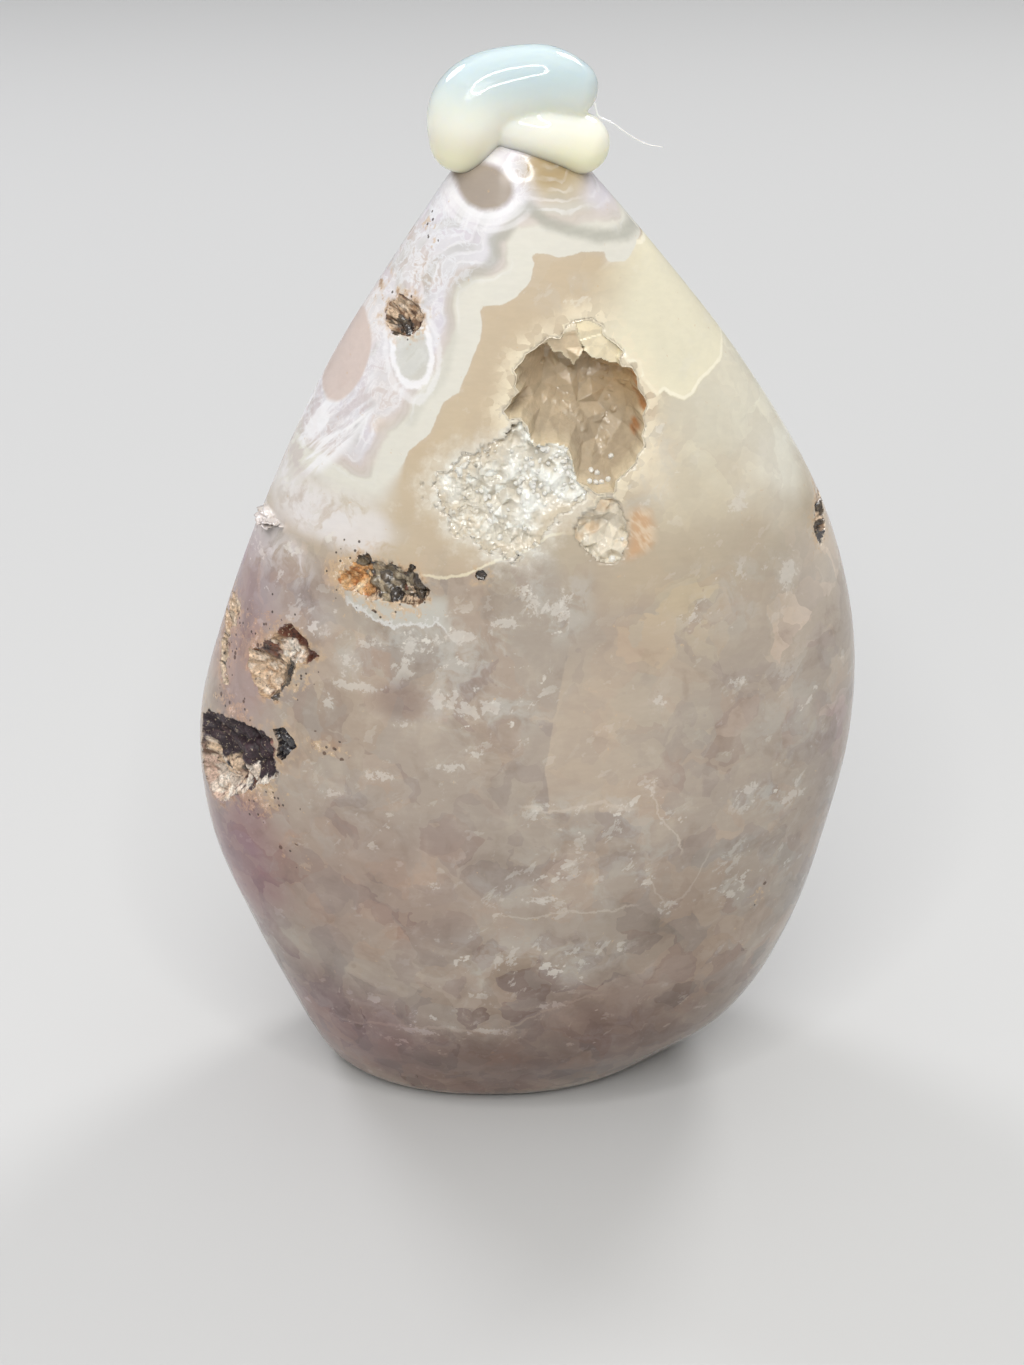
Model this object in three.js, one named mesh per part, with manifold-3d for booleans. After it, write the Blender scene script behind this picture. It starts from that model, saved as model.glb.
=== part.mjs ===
// A polished agate teardrop that stands on its flat base, with a crystal pocket
// near the top of its front and a blob of hot glue over its tip.
// Millimetres. X runs left to right across the front, the front faces -Y,
// and the flat base lies on Z = 0.
import * as THREE from 'three';
import { mergeVertices } from 'three/addons/utils/BufferGeometryUtils.js';
import Module from 'manifold-3d';

const wasm = await Module();
wasm.setup();

// Driving dimensions of the stone
const STONE_HEIGHT = 110;
const TIP_ROUNDING = 5;
const FOOT_ROUNDING = 2.6;

// How far the stone reaches at each height: height, left, right, front, back
const REACHES = [
  [0, -23.3, 14.2, 12.8, 13.2],
  [4, -25.7, 19.9, 14.2, 14.8],
  [10, -28.1, 26.6, 17.0, 17.0],
  [20, -31.9, 31.4, 18.7, 18.7],
  [32, -35.6, 34.3, 19.6, 19.6],
  [45, -35.9, 36.1, 19.6, 19.6],
  [58, -32.2, 35.1, 18.0, 18.0],
  [72, -26.6, 30.4, 15.0, 15.0],
  [86, -19.7, 21.8, 11.2, 11.2],
  [98, -12.0, 12.2, 7.6, 7.6],
  [110, -3.6, 1.5, 3.6, 3.6],
];
const LEFT = 1;
const RIGHT = 2;
const FRONT = 3;
const BACK = 4;

// A section's fullness across, and from front to back at the foot and at the tip
const ACROSS_POWER = 2.25;
const DEPTH_POWER_FOOT = 2.05;
const DEPTH_POWER_TIP = 1.6;

// Facets of the stone's skin
const POINTS_AROUND = 44;
const BODY_RINGS = 20;
const FOOT_RINGS = 3;
const TIP_RINGS = 4;

// Space left between two pieces that touch
const GAP = 0.3;

// The thinnest that a section may be where the form is shrunk
const LEAST_REACH = 0.02;

// Beds cut for the crystal crust: the deep pocket, the icy field at its lower left
// and the bright cluster at its lower right
const POCKET = { centre: [4.8, -8.6, 85.0], half: [7.9, 9.4, 8.4], roughness: 0.07, seed: 11 };
const ICY_FIELD = { centre: [-2.8, -13.0, 77.2], half: [7.6, 3.4, 5.8], roughness: 0.09, seed: 12 };
const CLUSTER = { centre: [8.4, -14.2, 75.0], half: [4.9, 3.8, 5.6], roughness: 0.08, seed: 13 };
const BED_DETAIL = 2;

// The crust's wall in the pocket, where its hollow is shifted to, being thicker at the
// top rim, and how far the shallow beds' floors lie under the skin
const POCKET_WALL = 1.1;
const HOLLOW_SHIFT = [-0.2, -1.2, -0.6];
const FLOOR_DEPTH = 1.5;

// Quartz points: how many, and their least and greatest radius and length
const POCKET_POINTS = { count: 34, radius: [1.1, 2.1], length: [2.2, 3.6], seed: 21 };
const FIELD_POINTS = { count: 30, radius: [0.6, 1.1], length: [1.7, 2.4], seed: 22 };
const CLUSTER_POINTS = { count: 7, radius: [1.3, 2.2], length: [2.2, 3.0], seed: 23 };
const HOLLOW_SEED = 61;
const QUARTZ_SIDES = 6;
const QUARTZ_SHOULDER = 0.5;
const GOLDEN_ANGLE = Math.PI * (3 - Math.sqrt(5));

// Vugs along the left edge, the upper left and the right edge
const VUGS = [
  { centre: [-11.9, -6.6, 92.2], half: [2.1, 1.9, 2.3], roughness: 0.16, seed: 31 },
  { centre: [-14.6, -14.0, 68.0], half: [5.2, 2.6, 2.9], roughness: 0.16, seed: 32 },
  { centre: [-25.4, -11.6, 58.0], half: [3.9, 3.2, 4.3], roughness: 0.16, seed: 33 },
  { centre: [-31.2, -9.6, 46.8], half: [5.8, 4.6, 4.6], roughness: 0.12, seed: 34 },
  { centre: [30.9, -3.8, 70.2], half: [1.7, 2.0, 2.6], roughness: 0.14, seed: 35 },
];
const VUG_DETAIL = 2;

// Black and rust nodules in the vugs: centre and radius
const NODULES = [
  [-12.6, -5.9, 91.4, 0.9],
  [-11.2, -6.2, 92.6, 0.8],
  [-11.9, -5.2, 93.4, 0.7],
  [-17.8, -12.4, 67.9, 1.0],
  [-16.0, -12.5, 69.0, 1.1],
  [-14.4, -13.0, 68.6, 1.3],
  [-12.7, -13.6, 67.6, 1.4],
  [-10.9, -14.0, 67.2, 1.2],
  [-10.8, -13.7, 69.0, 0.9],
  [-25.6, -10.0, 60.2, 1.2],
  [-27.4, -9.4, 57.6, 1.3],
  [-23.4, -11.6, 59.2, 1.1],
  [-25.4, -11.8, 55.0, 1.3],
  [-24.4, -12.6, 53.6, 1.0],
  [-31.8, -7.2, 49.4, 1.9],
  [-28.8, -9.4, 48.4, 2.0],
  [-25.9, -12.0, 48.8, 1.7],
  [-33.2, -6.4, 45.4, 1.6],
  [-30.4, -9.6, 44.2, 1.9],
  [-27.6, -12.0, 45.4, 1.5],
  [30.4, -3.4, 71.2, 0.9],
  [30.6, -4.4, 69.4, 0.9],
];

// Nodules over this radius are rounder
const LARGE_NODULE = 1.6;

// A small lip of white quartz that stands out of the left edge: centre and half sizes
const LIP = { centre: [-26.5, -2.2, 69.9], half: [1.5, 3.0, 1.0], roughness: 0.12, seed: 41 };

// The glue's lobes over the tip: centre and radius along each
const GLUE_LOBES = [
  [
    [-6.1, -1.4, 108.2, 3.15],
    [-5.3, -1.6, 110.65, 4.0],
    [-3.4, -1.4, 112.3, 3.9],
    [0.55, -1.4, 113.4, 3.4],
    [4.2, -1.4, 113.1, 2.45],
  ],
  [
    [-0.4, -2.4, 109.0, 1.95],
    [3.3, -1.8, 108.1, 2.55],
    [5.1, -1.4, 107.7, 2.8],
  ],
  [
    [-3.0, 1.0, 110.4, 3.9],
    [1.6, 1.0, 110.0, 3.2],
  ],
];
const LOBE_SIDES = 16;
const LOBE_RINGS = 6;
const LOBE_END_RINGS = 3;

// Looks in the plain model
const STONE_COLOUR = 0xbfae9c;
const CRUST_COLOUR = 0xd9d3c6;
const GLUE_COLOUR = 0xe9ede0;

// Repeatable random numbers from 0 to 1
function seededRandom(seed) {
  let state = seed * 2654435761;
  return () => {
    state = (state + 0x6d2b79f5) | 0;
    let mixed = Math.imul(state ^ (state >>> 15), 1 | state);
    mixed = (mixed + Math.imul(mixed ^ (mixed >>> 7), 61 | mixed)) ^ mixed;
    return ((mixed ^ (mixed >>> 14)) >>> 0) / 4294967296;
  };
}

// A closed three.js geometry as a solid that can be joined and cut
function solidOf(geometry) {
  const bare = new THREE.BufferGeometry();
  bare.setAttribute('position', geometry.getAttribute('position').clone());
  if (geometry.index) bare.setIndex(geometry.index.clone());
  const merged = mergeVertices(bare, 1e-4);
  const corners = merged.index.array;
  const kept = [];
  for (let i = 0; i < corners.length; i += 3) {
    const [a, b, c] = [corners[i], corners[i + 1], corners[i + 2]];
    if (a !== b && b !== c && c !== a) kept.push(a, b, c);
  }
  return new wasm.Manifold(new wasm.Mesh({
    numProp: 3,
    vertProperties: new Float32Array(merged.getAttribute('position').array),
    triVerts: new Uint32Array(kept),
  }));
}

// The triangles of a solid's largest closed shell: loose chips and closed bubbles are left out
function largestShell({ vertProperties, triVerts }) {
  const leader = Array.from({ length: vertProperties.length / 3 }, (_, i) => i);
  const leaderOf = (i) => {
    let at = i;
    while (leader[at] !== at) {
      leader[at] = leader[leader[at]];
      at = leader[at];
    }
    return at;
  };
  for (let i = 0; i < triVerts.length; i += 3) {
    leader[leaderOf(triVerts[i + 1])] = leaderOf(triVerts[i]);
    leader[leaderOf(triVerts[i + 2])] = leaderOf(triVerts[i]);
  }
  const corner = (i) => new THREE.Vector3().fromArray(vertProperties, 3 * triVerts[i]);
  const shells = new Map();
  for (let i = 0; i < triVerts.length; i += 3) {
    const key = leaderOf(triVerts[i]);
    const shell = shells.get(key) ?? { volume: 0, triangles: [] };
    shell.volume += corner(i).dot(corner(i + 1).cross(corner(i + 2))) / 6;
    shell.triangles.push(triVerts[i], triVerts[i + 1], triVerts[i + 2]);
    shells.set(key, shell);
  }
  return [...shells.values()].reduce((best, shell) => (shell.volume > best.volume ? shell : best)).triangles;
}

// A finished solid as a named mesh with flat facets
function namedMesh(name, solid, colour, roughness) {
  const mesh3d = solid.getMesh();
  const geometry = new THREE.BufferGeometry();
  const places = new Float32Array(mesh3d.vertProperties);
  geometry.setAttribute('position', new THREE.BufferAttribute(places, 3));
  geometry.setIndex(largestShell(mesh3d));
  geometry.computeVertexNormals();
  const material = new THREE.MeshStandardMaterial({
    color: colour,
    roughness,
    metalness: 0,
    flatShading: true,
  });
  const mesh = new THREE.Mesh(geometry, material);
  mesh.name = name;
  return mesh;
}

// One reach of the stone at a height: a smooth curve through the rows of REACHES
function reachAt(height, column) {
  const last = REACHES.length - 1;
  const slope = (i) => {
    const [before, after] = [REACHES[Math.max(i - 1, 0)], REACHES[Math.min(i + 1, last)]];
    return (after[column] - before[column]) / (after[0] - before[0]);
  };
  let row = 0;
  while (row < last - 1 && height > REACHES[row + 1][0]) row += 1;
  const [low, high] = [REACHES[row], REACHES[row + 1]];
  const span = high[0] - low[0];
  const u = (height - low[0]) / span;
  return (1 + 2 * u) * (1 - u) ** 2 * low[column] + u * (1 - u) ** 2 * span * slope(row)
    + u * u * (3 - 2 * u) * high[column] + u * u * (u - 1) * span * slope(row + 1);
}

// The section at a height, as a ring of points. grow moves the skin out by that much.
function stoneSection(height, grow) {
  const tipShare = Math.max(0, (height - (STONE_HEIGHT - TIP_ROUNDING)) / TIP_ROUNDING);
  const rounding = Math.sqrt(Math.max(0, 1 - tipShare ** 2));
  const footShare = Math.max(0, 1 - height / FOOT_ROUNDING);
  const foot = FOOT_ROUNDING * (1 - Math.sqrt(1 - footShare ** 2));
  const left = reachAt(height, LEFT);
  const right = reachAt(height, RIGHT);
  const middle = (left + right) / 2;
  const across = Math.max(LEAST_REACH, ((right - left) / 2 - foot) * rounding + grow);
  const front = Math.max(LEAST_REACH, (reachAt(height, FRONT) - foot) * rounding + grow);
  const back = Math.max(LEAST_REACH, (reachAt(height, BACK) - foot) * rounding + grow);
  const depthPower = THREE.MathUtils.lerp(DEPTH_POWER_FOOT, DEPTH_POWER_TIP, height / STONE_HEIGHT);
  const ring = [];
  for (let i = 0; i < POINTS_AROUND; i += 1) {
    const angle = (2 * Math.PI * i) / POINTS_AROUND;
    const c = Math.cos(angle);
    const s = Math.sin(angle);
    const x = middle + across * Math.sign(c) * Math.abs(c) ** (2 / ACROSS_POWER);
    const y = (s > 0 ? back : front) * Math.sign(s) * Math.abs(s) ** (2 / depthPower);
    ring.push(new THREE.Vector3(x, y, height));
  }
  return ring;
}

// The heights of the rings: close together round the foot and the tip
function ringHeights() {
  const heights = [];
  for (let i = 0; i < FOOT_RINGS; i += 1) {
    heights.push(FOOT_ROUNDING * (1 - Math.cos((Math.PI / 2) * (i / FOOT_RINGS))));
  }
  const shoulder = STONE_HEIGHT - TIP_ROUNDING;
  for (let i = 0; i < BODY_RINGS; i += 1) {
    heights.push(THREE.MathUtils.lerp(FOOT_ROUNDING, shoulder, i / BODY_RINGS));
  }
  for (let i = 0; i < TIP_RINGS; i += 1) {
    heights.push(shoulder + TIP_ROUNDING * Math.sin((Math.PI / 2) * (i / TIP_RINGS)));
  }
  return heights;
}

// The whole polished form with nothing cut from it
function polishedForm(grow = 0) {
  const rings = ringHeights().map((height) => stoneSection(height, grow));
  const vertices = rings.flat();
  const foot = new THREE.Vector3().addVectors(rings[0][0], rings[0][POINTS_AROUND / 2]).multiplyScalar(0.5);
  const lastRing = rings[rings.length - 1];
  const tip = new THREE.Vector3().addVectors(lastRing[0], lastRing[POINTS_AROUND / 2]).multiplyScalar(0.5);
  tip.z = STONE_HEIGHT + grow;
  const footIndex = vertices.push(foot) - 1;
  const tipIndex = vertices.push(tip) - 1;
  const faces = [];
  for (let i = 0; i < POINTS_AROUND; i += 1) {
    const next = (i + 1) % POINTS_AROUND;
    faces.push(footIndex, next, i);
    const top = (rings.length - 1) * POINTS_AROUND;
    faces.push(tipIndex, top + i, top + next);
    for (let r = 0; r < rings.length - 1; r += 1) {
      const low = r * POINTS_AROUND;
      const high = low + POINTS_AROUND;
      faces.push(low + i, low + next, high + next);
      faces.push(low + i, high + next, high + i);
    }
  }
  const geometry = new THREE.BufferGeometry().setFromPoints(vertices);
  geometry.setIndex(faces);
  return solidOf(geometry);
}

// A rough-walled rounded lump: used as a hollow's cutter and as a raised lump
function roughLump({ centre, half, roughness, seed }, detail, shrink = 0) {
  const random = seededRandom(seed);
  const geometry = new THREE.IcosahedronGeometry(1, detail);
  const position = geometry.getAttribute('position');
  const swellings = new Map();
  for (let i = 0; i < position.count; i += 1) {
    const point = new THREE.Vector3().fromBufferAttribute(position, i);
    const key = point.toArray().map((value) => Math.round(value * 1000)).join();
    if (!swellings.has(key)) swellings.set(key, 1 + roughness * (2 * random() - 1));
    const swelling = swellings.get(key);
    position.setXYZ(
      i,
      centre[0] + point.x * (half[0] - shrink) * swelling,
      centre[1] + point.y * (half[1] - shrink) * swelling,
      centre[2] + point.z * (half[2] - shrink) * swelling,
    );
  }
  return solidOf(geometry);
}

// A six-sided quartz point, widest at its shoulder, with its root at one place
// and its tip along a direction
function quartzPoint(root, direction, radius, length, spin) {
  const profile = [
    new THREE.Vector2(0, 0),
    new THREE.Vector2(radius, length * QUARTZ_SHOULDER),
    new THREE.Vector2(0, length),
  ];
  const geometry = new THREE.LatheGeometry(profile, QUARTZ_SIDES);
  const turn = new THREE.Quaternion().setFromUnitVectors(new THREE.Vector3(0, 1, 0), direction);
  geometry.rotateY(spin);
  geometry.applyQuaternion(turn);
  geometry.translate(root.x, root.y, root.z);
  return solidOf(geometry);
}

// A quartz point of a random size within its kind's limits
function randomPoint(root, direction, kind, random) {
  const radius = THREE.MathUtils.lerp(kind.radius[0], kind.radius[1], random());
  const length = THREE.MathUtils.lerp(kind.length[0], kind.length[1], random());
  return quartzPoint(root, direction, radius, length, random() * Math.PI);
}

// A small random lean
function randomLean(random, amount) {
  return new THREE.Vector3(random() - 0.5, random() - 0.5, random() - 0.5).multiplyScalar(amount);
}

// Quartz points all over the pocket's wall, leaning towards its middle
function pocketPoints() {
  const random = seededRandom(POCKET_POINTS.seed);
  const centre = new THREE.Vector3(...POCKET.centre);
  const points = [];
  for (let i = 0; i < POCKET_POINTS.count; i += 1) {
    const depth = 1 - (1.35 * (i + 0.5)) / POCKET_POINTS.count;
    const flat = Math.sqrt(1 - depth * depth);
    const around = GOLDEN_ANGLE * i;
    const outward = new THREE.Vector3(flat * Math.cos(around), depth, flat * Math.sin(around));
    const root = outward.clone().multiply(new THREE.Vector3(...POCKET.half)).add(centre);
    root.addScaledVector(outward, -POCKET_WALL / 2);
    const direction = outward.clone().negate().add(randomLean(random, 0.7)).normalize();
    points.push(randomPoint(root, direction, POCKET_POINTS, random));
  }
  return points;
}

// Quartz points standing on a shallow bed's floor, facing out of the stone's front
function standingPoints(bed, kind) {
  const random = seededRandom(kind.seed);
  const points = [];
  for (let i = 0; i < kind.count; i += 1) {
    const spread = Math.sqrt((i + 0.5) / kind.count) * 0.95;
    const x = bed.centre[0] + bed.half[0] * spread * Math.cos(GOLDEN_ANGLE * i);
    const z = bed.centre[2] + bed.half[2] * spread * Math.sin(GOLDEN_ANGLE * i);
    const root = new THREE.Vector3(x, frontAt(x, z) + FLOOR_DEPTH + GAP, z);
    const direction = new THREE.Vector3(0, -1, 0.2).add(randomLean(random, 1.1)).normalize();
    points.push(randomPoint(root, direction, kind, random));
  }
  return points;
}

// Where the polished front lies at a place across and a height
function frontAt(x, z) {
  const middle = (reachAt(z, LEFT) + reachAt(z, RIGHT)) / 2;
  const across = (reachAt(z, RIGHT) - reachAt(z, LEFT)) / 2;
  const depthPower = THREE.MathUtils.lerp(DEPTH_POWER_FOOT, DEPTH_POWER_TIP, z / STONE_HEIGHT);
  const share = 1 - Math.abs((x - middle) / across) ** ACROSS_POWER;
  return -reachAt(z, FRONT) * share ** (1 / depthPower);
}

// Many solids joined in one
function joined(solids) {
  return solids.reduce((all, solid) => all.add(solid));
}

// The crystal crust: a rough wall in the pocket and a floor in each shallow bed,
// studded with quartz points and ground flush with the polished face
function crystalCrust() {
  const beds = [POCKET, ICY_FIELD, CLUSTER].map((bed) => roughLump(bed, BED_DETAIL, GAP));
  const floors = joined(beds.slice(1)).intersect(polishedForm(-FLOOR_DEPTH));
  const middle = POCKET.centre.map((value, i) => value + HOLLOW_SHIFT[i]);
  const hollow = roughLump({ ...POCKET, centre: middle, seed: HOLLOW_SEED }, BED_DETAIL, GAP + POCKET_WALL);
  const wall = beds[0].add(floors).subtract(hollow);
  const points = [
    ...pocketPoints(),
    ...standingPoints(ICY_FIELD, FIELD_POINTS),
    ...standingPoints(CLUSTER, CLUSTER_POINTS),
  ];
  return joined([wall, ...points]).intersect(joined(beds)).intersect(polishedForm(-GAP / 2));
}

// The stone: the polished form less its hollows, in which the nodules are left standing
function agateStone() {
  const beds = joined([POCKET, ICY_FIELD, CLUSTER].map((bed) => roughLump(bed, BED_DETAIL)));
  const vugs = joined(VUGS.map((vug) => roughLump(vug, VUG_DETAIL)));
  const nodules = joined(NODULES.map(([x, y, z, radius], i) => roughLump(
    { centre: [x, y, z], half: [radius, radius, radius], roughness: 0.14, seed: 60 + i },
    radius > LARGE_NODULE ? 1 : 0,
  )));
  const hollows = beds.add(vugs.subtract(nodules));
  return polishedForm().subtract(hollows).add(roughLump(LIP, 1));
}

// The stations of a lobe's rings: a half ball at each end and a smooth run between them
function lobeStations(lobe) {
  const path = new THREE.CatmullRomCurve3(lobe.map(([x, y, z]) => new THREE.Vector3(x, y, z)));
  const swell = new THREE.CatmullRomCurve3(lobe.map((station) => new THREE.Vector3(station[3], 0, 0)));
  const station = (u, angle) => {
    const radius = swell.getPoint(u).x;
    const tangent = path.getTangent(u);
    const centre = path.getPoint(u).addScaledVector(tangent, radius * Math.sin(angle));
    return { centre, tangent, radius: radius * Math.cos(angle) };
  };
  const quarter = Math.PI / 2;
  const stations = [];
  for (let i = 0; i < LOBE_END_RINGS; i += 1) stations.push(station(0, quarter * (i / LOBE_END_RINGS - 1)));
  for (let i = 0; i <= LOBE_RINGS; i += 1) stations.push(station(i / LOBE_RINGS, 0));
  for (let i = 1; i <= LOBE_END_RINGS; i += 1) stations.push(station(1, quarter * (i / LOBE_END_RINGS)));
  return stations;
}

// One rounded lobe: rings of points across its path, closed at both ends
function lobeSolid(lobe) {
  const rings = lobeStations(lobe).map(({ centre, tangent, radius }) => {
    const side = new THREE.Vector3(0, 1, 0).projectOnPlane(tangent).normalize();
    const up = new THREE.Vector3().crossVectors(tangent, side);
    return Array.from({ length: LOBE_SIDES }, (_, i) => {
      const angle = (2 * Math.PI * i) / LOBE_SIDES;
      return centre.clone()
        .addScaledVector(side, radius * Math.cos(angle))
        .addScaledVector(up, radius * Math.sin(angle));
    });
  });
  const faces = [];
  for (let r = 0; r < rings.length - 1; r += 1) {
    for (let i = 0; i < LOBE_SIDES; i += 1) {
      const next = (i + 1) % LOBE_SIDES;
      const low = r * LOBE_SIDES;
      const high = low + LOBE_SIDES;
      faces.push(low + i, low + next, high + next);
      faces.push(low + i, high + next, high + i);
    }
  }
  const geometry = new THREE.BufferGeometry().setFromPoints(rings.flat());
  geometry.setIndex(faces);
  return solidOf(geometry);
}

// The glue blob, seated on the tip
function glueCap() {
  return joined(GLUE_LOBES.map(lobeSolid)).subtract(polishedForm(GAP));
}

const group = new THREE.Group();
group.add(namedMesh('agate_stone', agateStone(), STONE_COLOUR, 0.15));
group.add(namedMesh('druzy_crust', crystalCrust(), CRUST_COLOUR, 0.1));
group.add(namedMesh('glue_tip_cap', glueCap(), GLUE_COLOUR, 0.08));

export default group;
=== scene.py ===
"""A polished agate teardrop with a crystal pocket, dark hollows and a blob of hot glue over its tip."""

import math
import bmesh
import bpy
import numpy as np
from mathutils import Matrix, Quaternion, Vector
from mathutils.geometry import delaunay_2d_cdt
from mathutils.kdtree import KDTree


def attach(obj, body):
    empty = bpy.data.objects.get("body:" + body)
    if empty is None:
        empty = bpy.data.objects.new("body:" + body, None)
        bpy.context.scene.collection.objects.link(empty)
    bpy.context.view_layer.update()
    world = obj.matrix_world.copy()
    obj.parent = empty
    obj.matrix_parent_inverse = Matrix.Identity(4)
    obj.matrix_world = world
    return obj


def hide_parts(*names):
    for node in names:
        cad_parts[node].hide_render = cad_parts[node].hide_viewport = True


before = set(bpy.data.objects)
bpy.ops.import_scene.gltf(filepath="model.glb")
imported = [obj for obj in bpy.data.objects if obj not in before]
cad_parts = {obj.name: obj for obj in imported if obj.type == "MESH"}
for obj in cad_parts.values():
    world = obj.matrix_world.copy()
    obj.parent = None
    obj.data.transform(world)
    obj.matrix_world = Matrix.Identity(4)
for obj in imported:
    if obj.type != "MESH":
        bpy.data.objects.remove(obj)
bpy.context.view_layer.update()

# Lengths below are in millimetres unless a name says otherwise.
MM = 0.001
TAU = 2 * math.pi

# the polished form, as the CAD solid has it
STONE_HEIGHT = 110.0
TIP_ROUNDING = 5.0
FOOT_ROUNDING = 2.6
# height, then how far the stone reaches to the left, right, front and back
REACHES = np.array([
    [0, -23.3, 14.2, 12.8, 13.2],
    [4, -25.7, 19.9, 14.2, 14.8],
    [10, -28.1, 26.6, 17.0, 17.0],
    [20, -31.9, 31.4, 18.7, 18.7],
    [32, -35.6, 34.3, 19.6, 19.6],
    [45, -35.9, 36.1, 19.6, 19.6],
    [58, -32.2, 35.1, 18.0, 18.0],
    [72, -26.6, 30.4, 15.0, 15.0],
    [86, -19.7, 21.8, 11.2, 11.2],
    [98, -12.0, 12.2, 7.6, 7.6],
    [110, -3.6, 1.5, 3.6, 3.6],
])
ACROSS_POWER = 2.25
DEPTH_POWER_FOOT = 2.05
DEPTH_POWER_TIP = 1.6
LEAST_REACH = 0.02
FRONT_COLUMNS = 190
BACK_COLUMNS = 52
BODY_RINGS = 210
FOOT_RINGS = 8
SIDE_SHARE = 0.96
SLOPE_STEP = 0.05
MOST_LEAN = 1.5
TIP_RINGS = 14


def reach_at(height, column):
    """One column of REACHES at any height, on a smooth curve through its rows."""
    levels = REACHES[:, 0]
    values = REACHES[:, column]
    slopes = np.zeros(len(values))
    rows = len(levels)
    slopes[1:-1] = (values[2:] - values[:-2]) / (levels[2:] - levels[:-2])
    slopes[0] = (values[1] - values[0]) / (levels[1] - levels[0])
    slopes[-1] = (values[-1] - values[-2]) / (levels[-1] - levels[-2])
    height = np.clip(height, levels[0], levels[-1])
    row = np.clip(np.searchsorted(levels, height, side="right") - 1, 0, rows - 2)
    gap = levels[row + 1] - levels[row]
    t = (height - levels[row]) / gap
    start = (2 * t**3 - 3 * t**2 + 1) * values[row] + (t**3 - 2 * t**2 + t) * gap * slopes[row]
    end = (3 * t**2 - 2 * t**3) * values[row + 1] + (t**3 - t**2) * gap * slopes[row + 1]
    return start + end


def section_at(height):
    """The stone's section: its middle, its half width, its front and back reach and its depth power."""
    low = np.clip(1 - height / FOOT_ROUNDING, 0, 1)
    foot = FOOT_ROUNDING * (1 - np.sqrt(1 - low**2))
    high = np.clip((height - (STONE_HEIGHT - TIP_ROUNDING)) / TIP_ROUNDING, 0, 1)
    rounding = np.sqrt(1 - high**2)
    left, right, front, back = (reach_at(height, column) for column in (1, 2, 3, 4))
    middle = (left + right) / 2
    across = np.maximum(((right - left) / 2 - foot) * rounding, LEAST_REACH)
    front = np.maximum((front - foot) * rounding, LEAST_REACH)
    back = np.maximum((back - foot) * rounding, LEAST_REACH)
    power = DEPTH_POWER_FOOT + (DEPTH_POWER_TIP - DEPTH_POWER_FOOT) * height / STONE_HEIGHT
    return middle, across, front, back, power


def skin_front(x, z):
    """The y of the polished front at x and z. Past the outline it is the y of the edge."""
    middle, across, front, _, power = section_at(z)
    side = np.clip(np.abs((x - middle) / across), 0, 1)
    return -front * (1 - side**ACROSS_POWER) ** (1 / power)


def inward_normals(x, z):
    """Unit vectors into the stone from its polished front, leaning sideways by no more than MOST_LEAN."""
    middle, across, *_ = section_at(z)
    x = np.clip(x, middle - SIDE_SHARE * across, middle + SIDE_SHARE * across)
    slope_x = (skin_front(x + SLOPE_STEP, z) - skin_front(x - SLOPE_STEP, z)) / (2 * SLOPE_STEP)
    slope_z = (skin_front(x, z + SLOPE_STEP) - skin_front(x, z - SLOPE_STEP)) / (2 * SLOPE_STEP)
    inward = np.column_stack([-slope_x, np.ones(len(x)), -slope_z])
    inward = np.clip(inward, -MOST_LEAN, MOST_LEAN)
    return inward / np.linalg.norm(inward, axis=1)[:, None]


def depth_in(points):
    """How far behind the polished front each point is, along y."""
    return points[:, 1] - skin_front(points[:, 0], points[:, 2])


def grid_faces(rings, columns):
    """Quads between rings of the same number of points, with the rows numbered upward."""
    row = np.arange(rings - 1)[:, None] * columns
    here = np.arange(columns)[None, :]
    after = (here + 1) % columns
    quads = np.stack([row + here, row + after, row + columns + after, row + columns + here], axis=-1)
    return [tuple(int(v) for v in quad) for quad in quads.reshape(-1, 4)]


def capped_tube(points, columns, ends):
    """Rings of points joined to a tube with a middle point closing each end: its points and faces."""
    faces = grid_faces(len(points) // columns, columns)
    first = len(points)
    top = first - columns
    for i in range(columns):
        after = (i + 1) % columns
        faces.append((first, after, i))
        faces.append((first + 1, top + i, top + after))
    return np.vstack([points, ends]), faces


def polished_mesh():
    """Points and faces of the uncut polished stone, finest on its front."""
    front_angles = np.linspace(math.pi, TAU, FRONT_COLUMNS, endpoint=False)
    back_angles = np.linspace(0, math.pi, BACK_COLUMNS, endpoint=False)
    angles = np.concatenate([front_angles, back_angles])
    foot_turns = np.linspace(0, math.pi / 2, FOOT_RINGS, endpoint=False)
    foot_levels = FOOT_ROUNDING * (1 - np.cos(foot_turns))
    body_levels = np.linspace(FOOT_ROUNDING, STONE_HEIGHT - TIP_ROUNDING, BODY_RINGS)
    tip_turns = np.linspace(0, math.pi / 2, TIP_RINGS)[1:]
    tip_levels = STONE_HEIGHT - TIP_ROUNDING + TIP_ROUNDING * np.sin(tip_turns)
    levels = np.concatenate([foot_levels, body_levels, tip_levels[:-1]])
    middle, across, front, back, power = (value[:, None] for value in section_at(levels))
    c, s = np.cos(angles)[None, :], np.sin(angles)[None, :]
    x = middle + across * np.sign(c) * np.abs(c) ** (2 / ACROSS_POWER)
    y = np.where(s > 0, back, front) * np.sign(s) * np.abs(s) ** (2 / power)
    z = np.broadcast_to(levels[:, None], x.shape)
    points = np.stack([x, y, z], axis=-1).reshape(-1, 3)
    columns = len(angles)
    foot_middle = [points[:columns, 0].mean(), 0, 0]
    tip_middle = [points[-columns:, 0].mean(), 0, STONE_HEIGHT]
    return capped_tube(points, columns, [foot_middle, tip_middle])


# noise and distances
NOISE_CELLS = 32


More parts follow.
